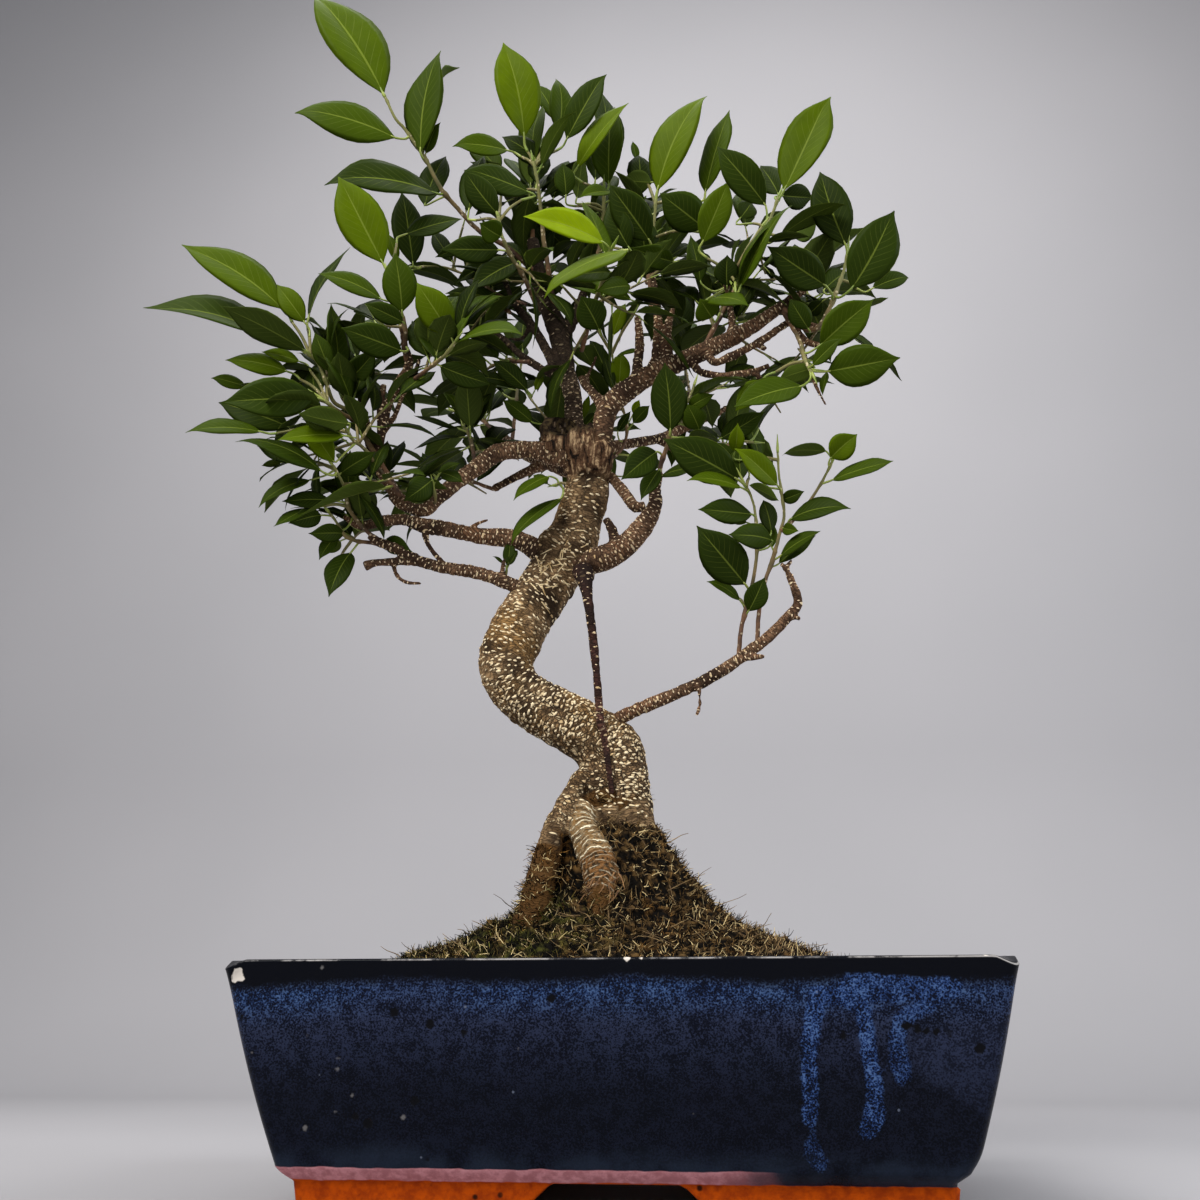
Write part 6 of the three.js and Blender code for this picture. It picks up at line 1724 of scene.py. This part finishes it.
def spiralLeaves(start, end, size, seed, chance):
    start, end = np.asarray(start, float), np.asarray(end, float)
    ahead = unit(end - start)
    sideA = unit(np.cross(ahead, (0.3, 0.2, 1)))
    sideB = np.cross(ahead, sideA)
    leaves = []
    for i in range(ruled["count"]):
        share = i / (ruled["count"] - 1)
        wobble = sin(12.9 * i + 7.3 * seed)
        angle = radians(137.5 * i + 50 * seed)
        place = 0.3 + 0.7 * share
        root = start + (end - start) * place
        root[2] += ruled["lift"] * 4 * place * (1 - place)
        out = (ahead * (0.5 + 0.9 * share**2) + sideA * cos(angle) * (1 - 0.6 * share)
               + sideB * sin(angle) * (1 - 0.6 * share))
        out[2] += 0.12 + 0.1 * wobble
        out = unit(out)
        length = size * (0.88 + 0.16 * wobble)
        base = root + out * 0.2 * length
        tip = base + out * length - np.array([0, 0, 0.14 * length])
        face = np.array([0.35 * out[0], 0.35 * out[1] - 0.1, 1])
        if not inTheClear(base, tip):
            # a low tone: painted shade for the leaves inside and behind the crown
            leaves.append((base, tip, 0.47 * length, face, chance.uniform(0.1, 0.42)))
    return leaves


def makeSprays():
    for number, (name, (thick, thin, twig, rows)) in enumerate(pickedSprays.items()):
        leaves = []
        for *ends, width, turn, tone in rows:
            base, tip = np.array(ends, float).reshape(2, 3)
            leaves.append((base, tip, width, facing(base, tip, turn), tone))
        addSpray(name, np.array(twig, float), thick, thin, leaves, 100 + number)
    for number, (name, start, end) in enumerate(ruledSprays):
        size = ruled["sizes"][number % 3]
        leaves = spiralLeaves(start, end, size, number, random.Random(300 + number))
        middle = (np.array(start) + np.array(end)) / 2 + np.array([0, 0, ruled["lift"]])
        addSpray(name, np.array([start, middle, end], float), ruled["radii"][0], ruled["radii"][2], leaves,
                 200 + number)


makeSprays()
print("leaves made")


# moss mound, soil and what lies on them


def makeMoss():
    turns, rings = moss["turns"], moss["rings"]
    points = [[moss["x"], 0, mossHeight(0, 0)]]
    for i in range(1, rings + 1):
        r = moss["reach"] * (i / rings) ** 0.9
        for k in range(turns):
            turn = 2 * pi * k / turns
            points.append([moss["x"] + r * cos(turn), moss["depth scale"] * r * sin(turn),
                           mossHeight(r, turn)])
    points = np.array(points)
    hollow = noiseOn(points, 0.3, 7) * 0.6 + noiseOn(points, 0.75, 8) * 0.4
    lumps = noiseOn(points, 0.06, 6) * 3.4 + noiseOn(points, 0.14, 5) * 2.4 + hollow * 4.6
    edge = np.clip((points[:, 2] - 97) / 10, 0, 1)
    points[:, 2] += lumps * edge
    points[:, 0] += noiseOn(points, 0.12, 9) * 2.0 * edge + noiseOn(points, 0.5, 10) * 1.6 * edge
    points[:, 1] += noiseOn(points, 0.5, 12) * 1.6 * edge
    points[:, 2] = np.maximum(points[:, 2], moss["base"] + 0.3)
    faces = [(0, 1 + k, 1 + (k + 1) % turns) for k in range(turns)]
    for i in range(rings - 1):
        for k in range(turns):
            a, b = 1 + i * turns + k, 1 + i * turns + (k + 1) % turns
            faces.append((a, a + turns, b + turns, b))
    last = 1 + (rings - 1) * turns
    rim = points[last:].copy()
    rim[:, 2] = moss["base"]
    start = len(points)
    points = np.vstack([points, rim])
    for k in range(turns):
        a, b = last + k, last + (k + 1) % turns
        faces.append((a, start + k, start + (k + 1) % turns, b))
    faces.append(tuple(start + k for k in reversed(range(turns))))
    # painted shade: the bed's low hollows get low shade values, and the points round its foot the lowest
    shade = np.concatenate([np.clip(0.5 + hollow * 1.6, 0, 1), np.zeros(turns)])
    draft = Draft("mossy", "shade")
    draft.add(points, faces, mossy=np.arange(len(points)) < start, shade=shade)
    addHairs(draft, points)
    piece = newPiece("moss_bed", draft.mesh("moss_bed"), finish["moss"], finish["fibre"],
                     finish["mossBlade"])
    apart = growApart(piece, "moss_curls", curls, Density=moss["curls"] / mm**2,
                      Length=moss["curl length"] * mm, Seed=4, Material=finish["mossBlade"])
    settle(apart, "moss")
    settle(piece, "moss", "moss_mound")


def addHairs(draft, points):
    # dry rootlets and stems that lie over the mound and stand out of it
    chance = random.Random(21)
    for k in range(moss["hairs"]):
        turn = chance.choice((chance.uniform(pi, 2 * pi), chance.uniform(0, 2 * pi)))
        r = chance.uniform(*moss["hair reach"])
        x, y = moss["x"] + r * cos(turn), moss["depth scale"] * r * sin(turn)
        z = mossHeight(r, turn)
        heading = chance.uniform(0, 2 * pi)
        length = chance.uniform(*moss["hair length"])
        rise = chance.uniform(-0.1, 0.55)
        path, px, py, pz = [], x, y, z - 0.5
        for s in range(5):
            path.append((px, py, pz, chance.uniform(0.22, 0.4) * (1 - s / 6)))
            px, py = px + length / 4 * cos(heading), py + length / 4 * sin(heading)
            rNow = hypot(px - moss["x"], py / moss["depth scale"])
            turnNow = atan2(py / moss["depth scale"], px - moss["x"])
            ground = mossHeight(min(rNow, moss["reach"] - 1), turnNow)
            pz = max(pz + rise * length / 4 + chance.uniform(-0.8, 0.8), ground + chance.uniform(0.0, 1.8))
            heading += chance.uniform(-0.6, 0.6)
        draft.add(*tubeAlong(smoothRoute(path, 8), 4), slot=1)


def gritTree():
    tree, start = newGrowth("soilGrit", "Density", "Size")
    spread = scattered(start, "RANDOM", {"Density": start["Density"] * named("upper")})
    stone = put("GeometryNodeMeshIcoSphere", {"Radius": 1.0, "Subdivisions": 1})["Mesh"]
    turned = turnedBy((-3, -3, -3), (3, 3, 3), 2)
    size = scaled((0.5, 0.4, 0.3), (1.6, 1.2, 0.9), 6, start["Size"])
    return finishGrowth(tree, start, placedOn(spread, stone, turned, size))


soil = {"levels": (23.5, 96.0), "cells": (96, 72), "gap": 0.6, "over screen": 22, "grit": 0.075,
        "grit size": 1.3}


def makeSoil():
    # a block with an uneven top, hollowed out below over the screens
    countX, countY = soil["cells"]
    points, upper = [], []
    for level, z in enumerate(soil["levels"]):
        halfX, halfY = np.array(pot["half"]) - potInset(z, pot["wall"] + soil["gap"])
        for j in range(countY + 1):
            for i in range(countX + 1):
                x, y = halfX * (2 * i / countX - 1), halfY * (2 * j / countY - 1)
                rough = noise.noise(Vector((x, y, 0)) * 0.11) * 1.6
                rough += noise.noise(Vector((x, y, 9)) * 0.4) * 0.8
                overScreen = max(abs(abs(x) - pot["drainX"]), abs(y)) < soil["over screen"]
                points.append((x, y, z + (rough if level else 4.0 * overScreen)))
                upper.append(float(level))
    wide, layer = countX + 1, (countX + 1) * (countY + 1)
    faces = []
    for j in range(countY):
        for i in range(countX):
            a = j * wide + i
            faces.append((a, a + wide, a + wide + 1, a + 1))
            b = a + layer
            faces.append((b, b + 1, b + wide + 1, b + wide))
    edge = (list(range(countX)) + [countX + j * wide for j in range(countY)]
            + [countY * wide + i for i in range(countX, 0, -1)] + [j * wide for j in range(countY, 0, -1)])
    for a, b in zip(edge, edge[1:] + edge[:1]):
        faces.append((a, b, b + layer, a + layer))
    draft = Draft("upper")
    draft.add(points, faces, upper=upper)
    piece = newPiece("soil_bed", draft.mesh("soil_bed"), finish["soil"])
    grow(piece, gritTree(), Density=soil["grit"] / mm**2, Size=soil["grit size"] * mm, Seed=8,
         Material=finish["grit"])
    settle(piece, "soil", "soil")


makeMoss()
makeSoil()
print("moss and soil made")

for side in ("left", "right"):
    for node, coat in (("drainage_screen_", "screen"), ("screen_wire_", "wire")):
        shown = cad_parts[node + side]
        shown.data.materials.clear()
        shown.data.materials.append(finish[coat])
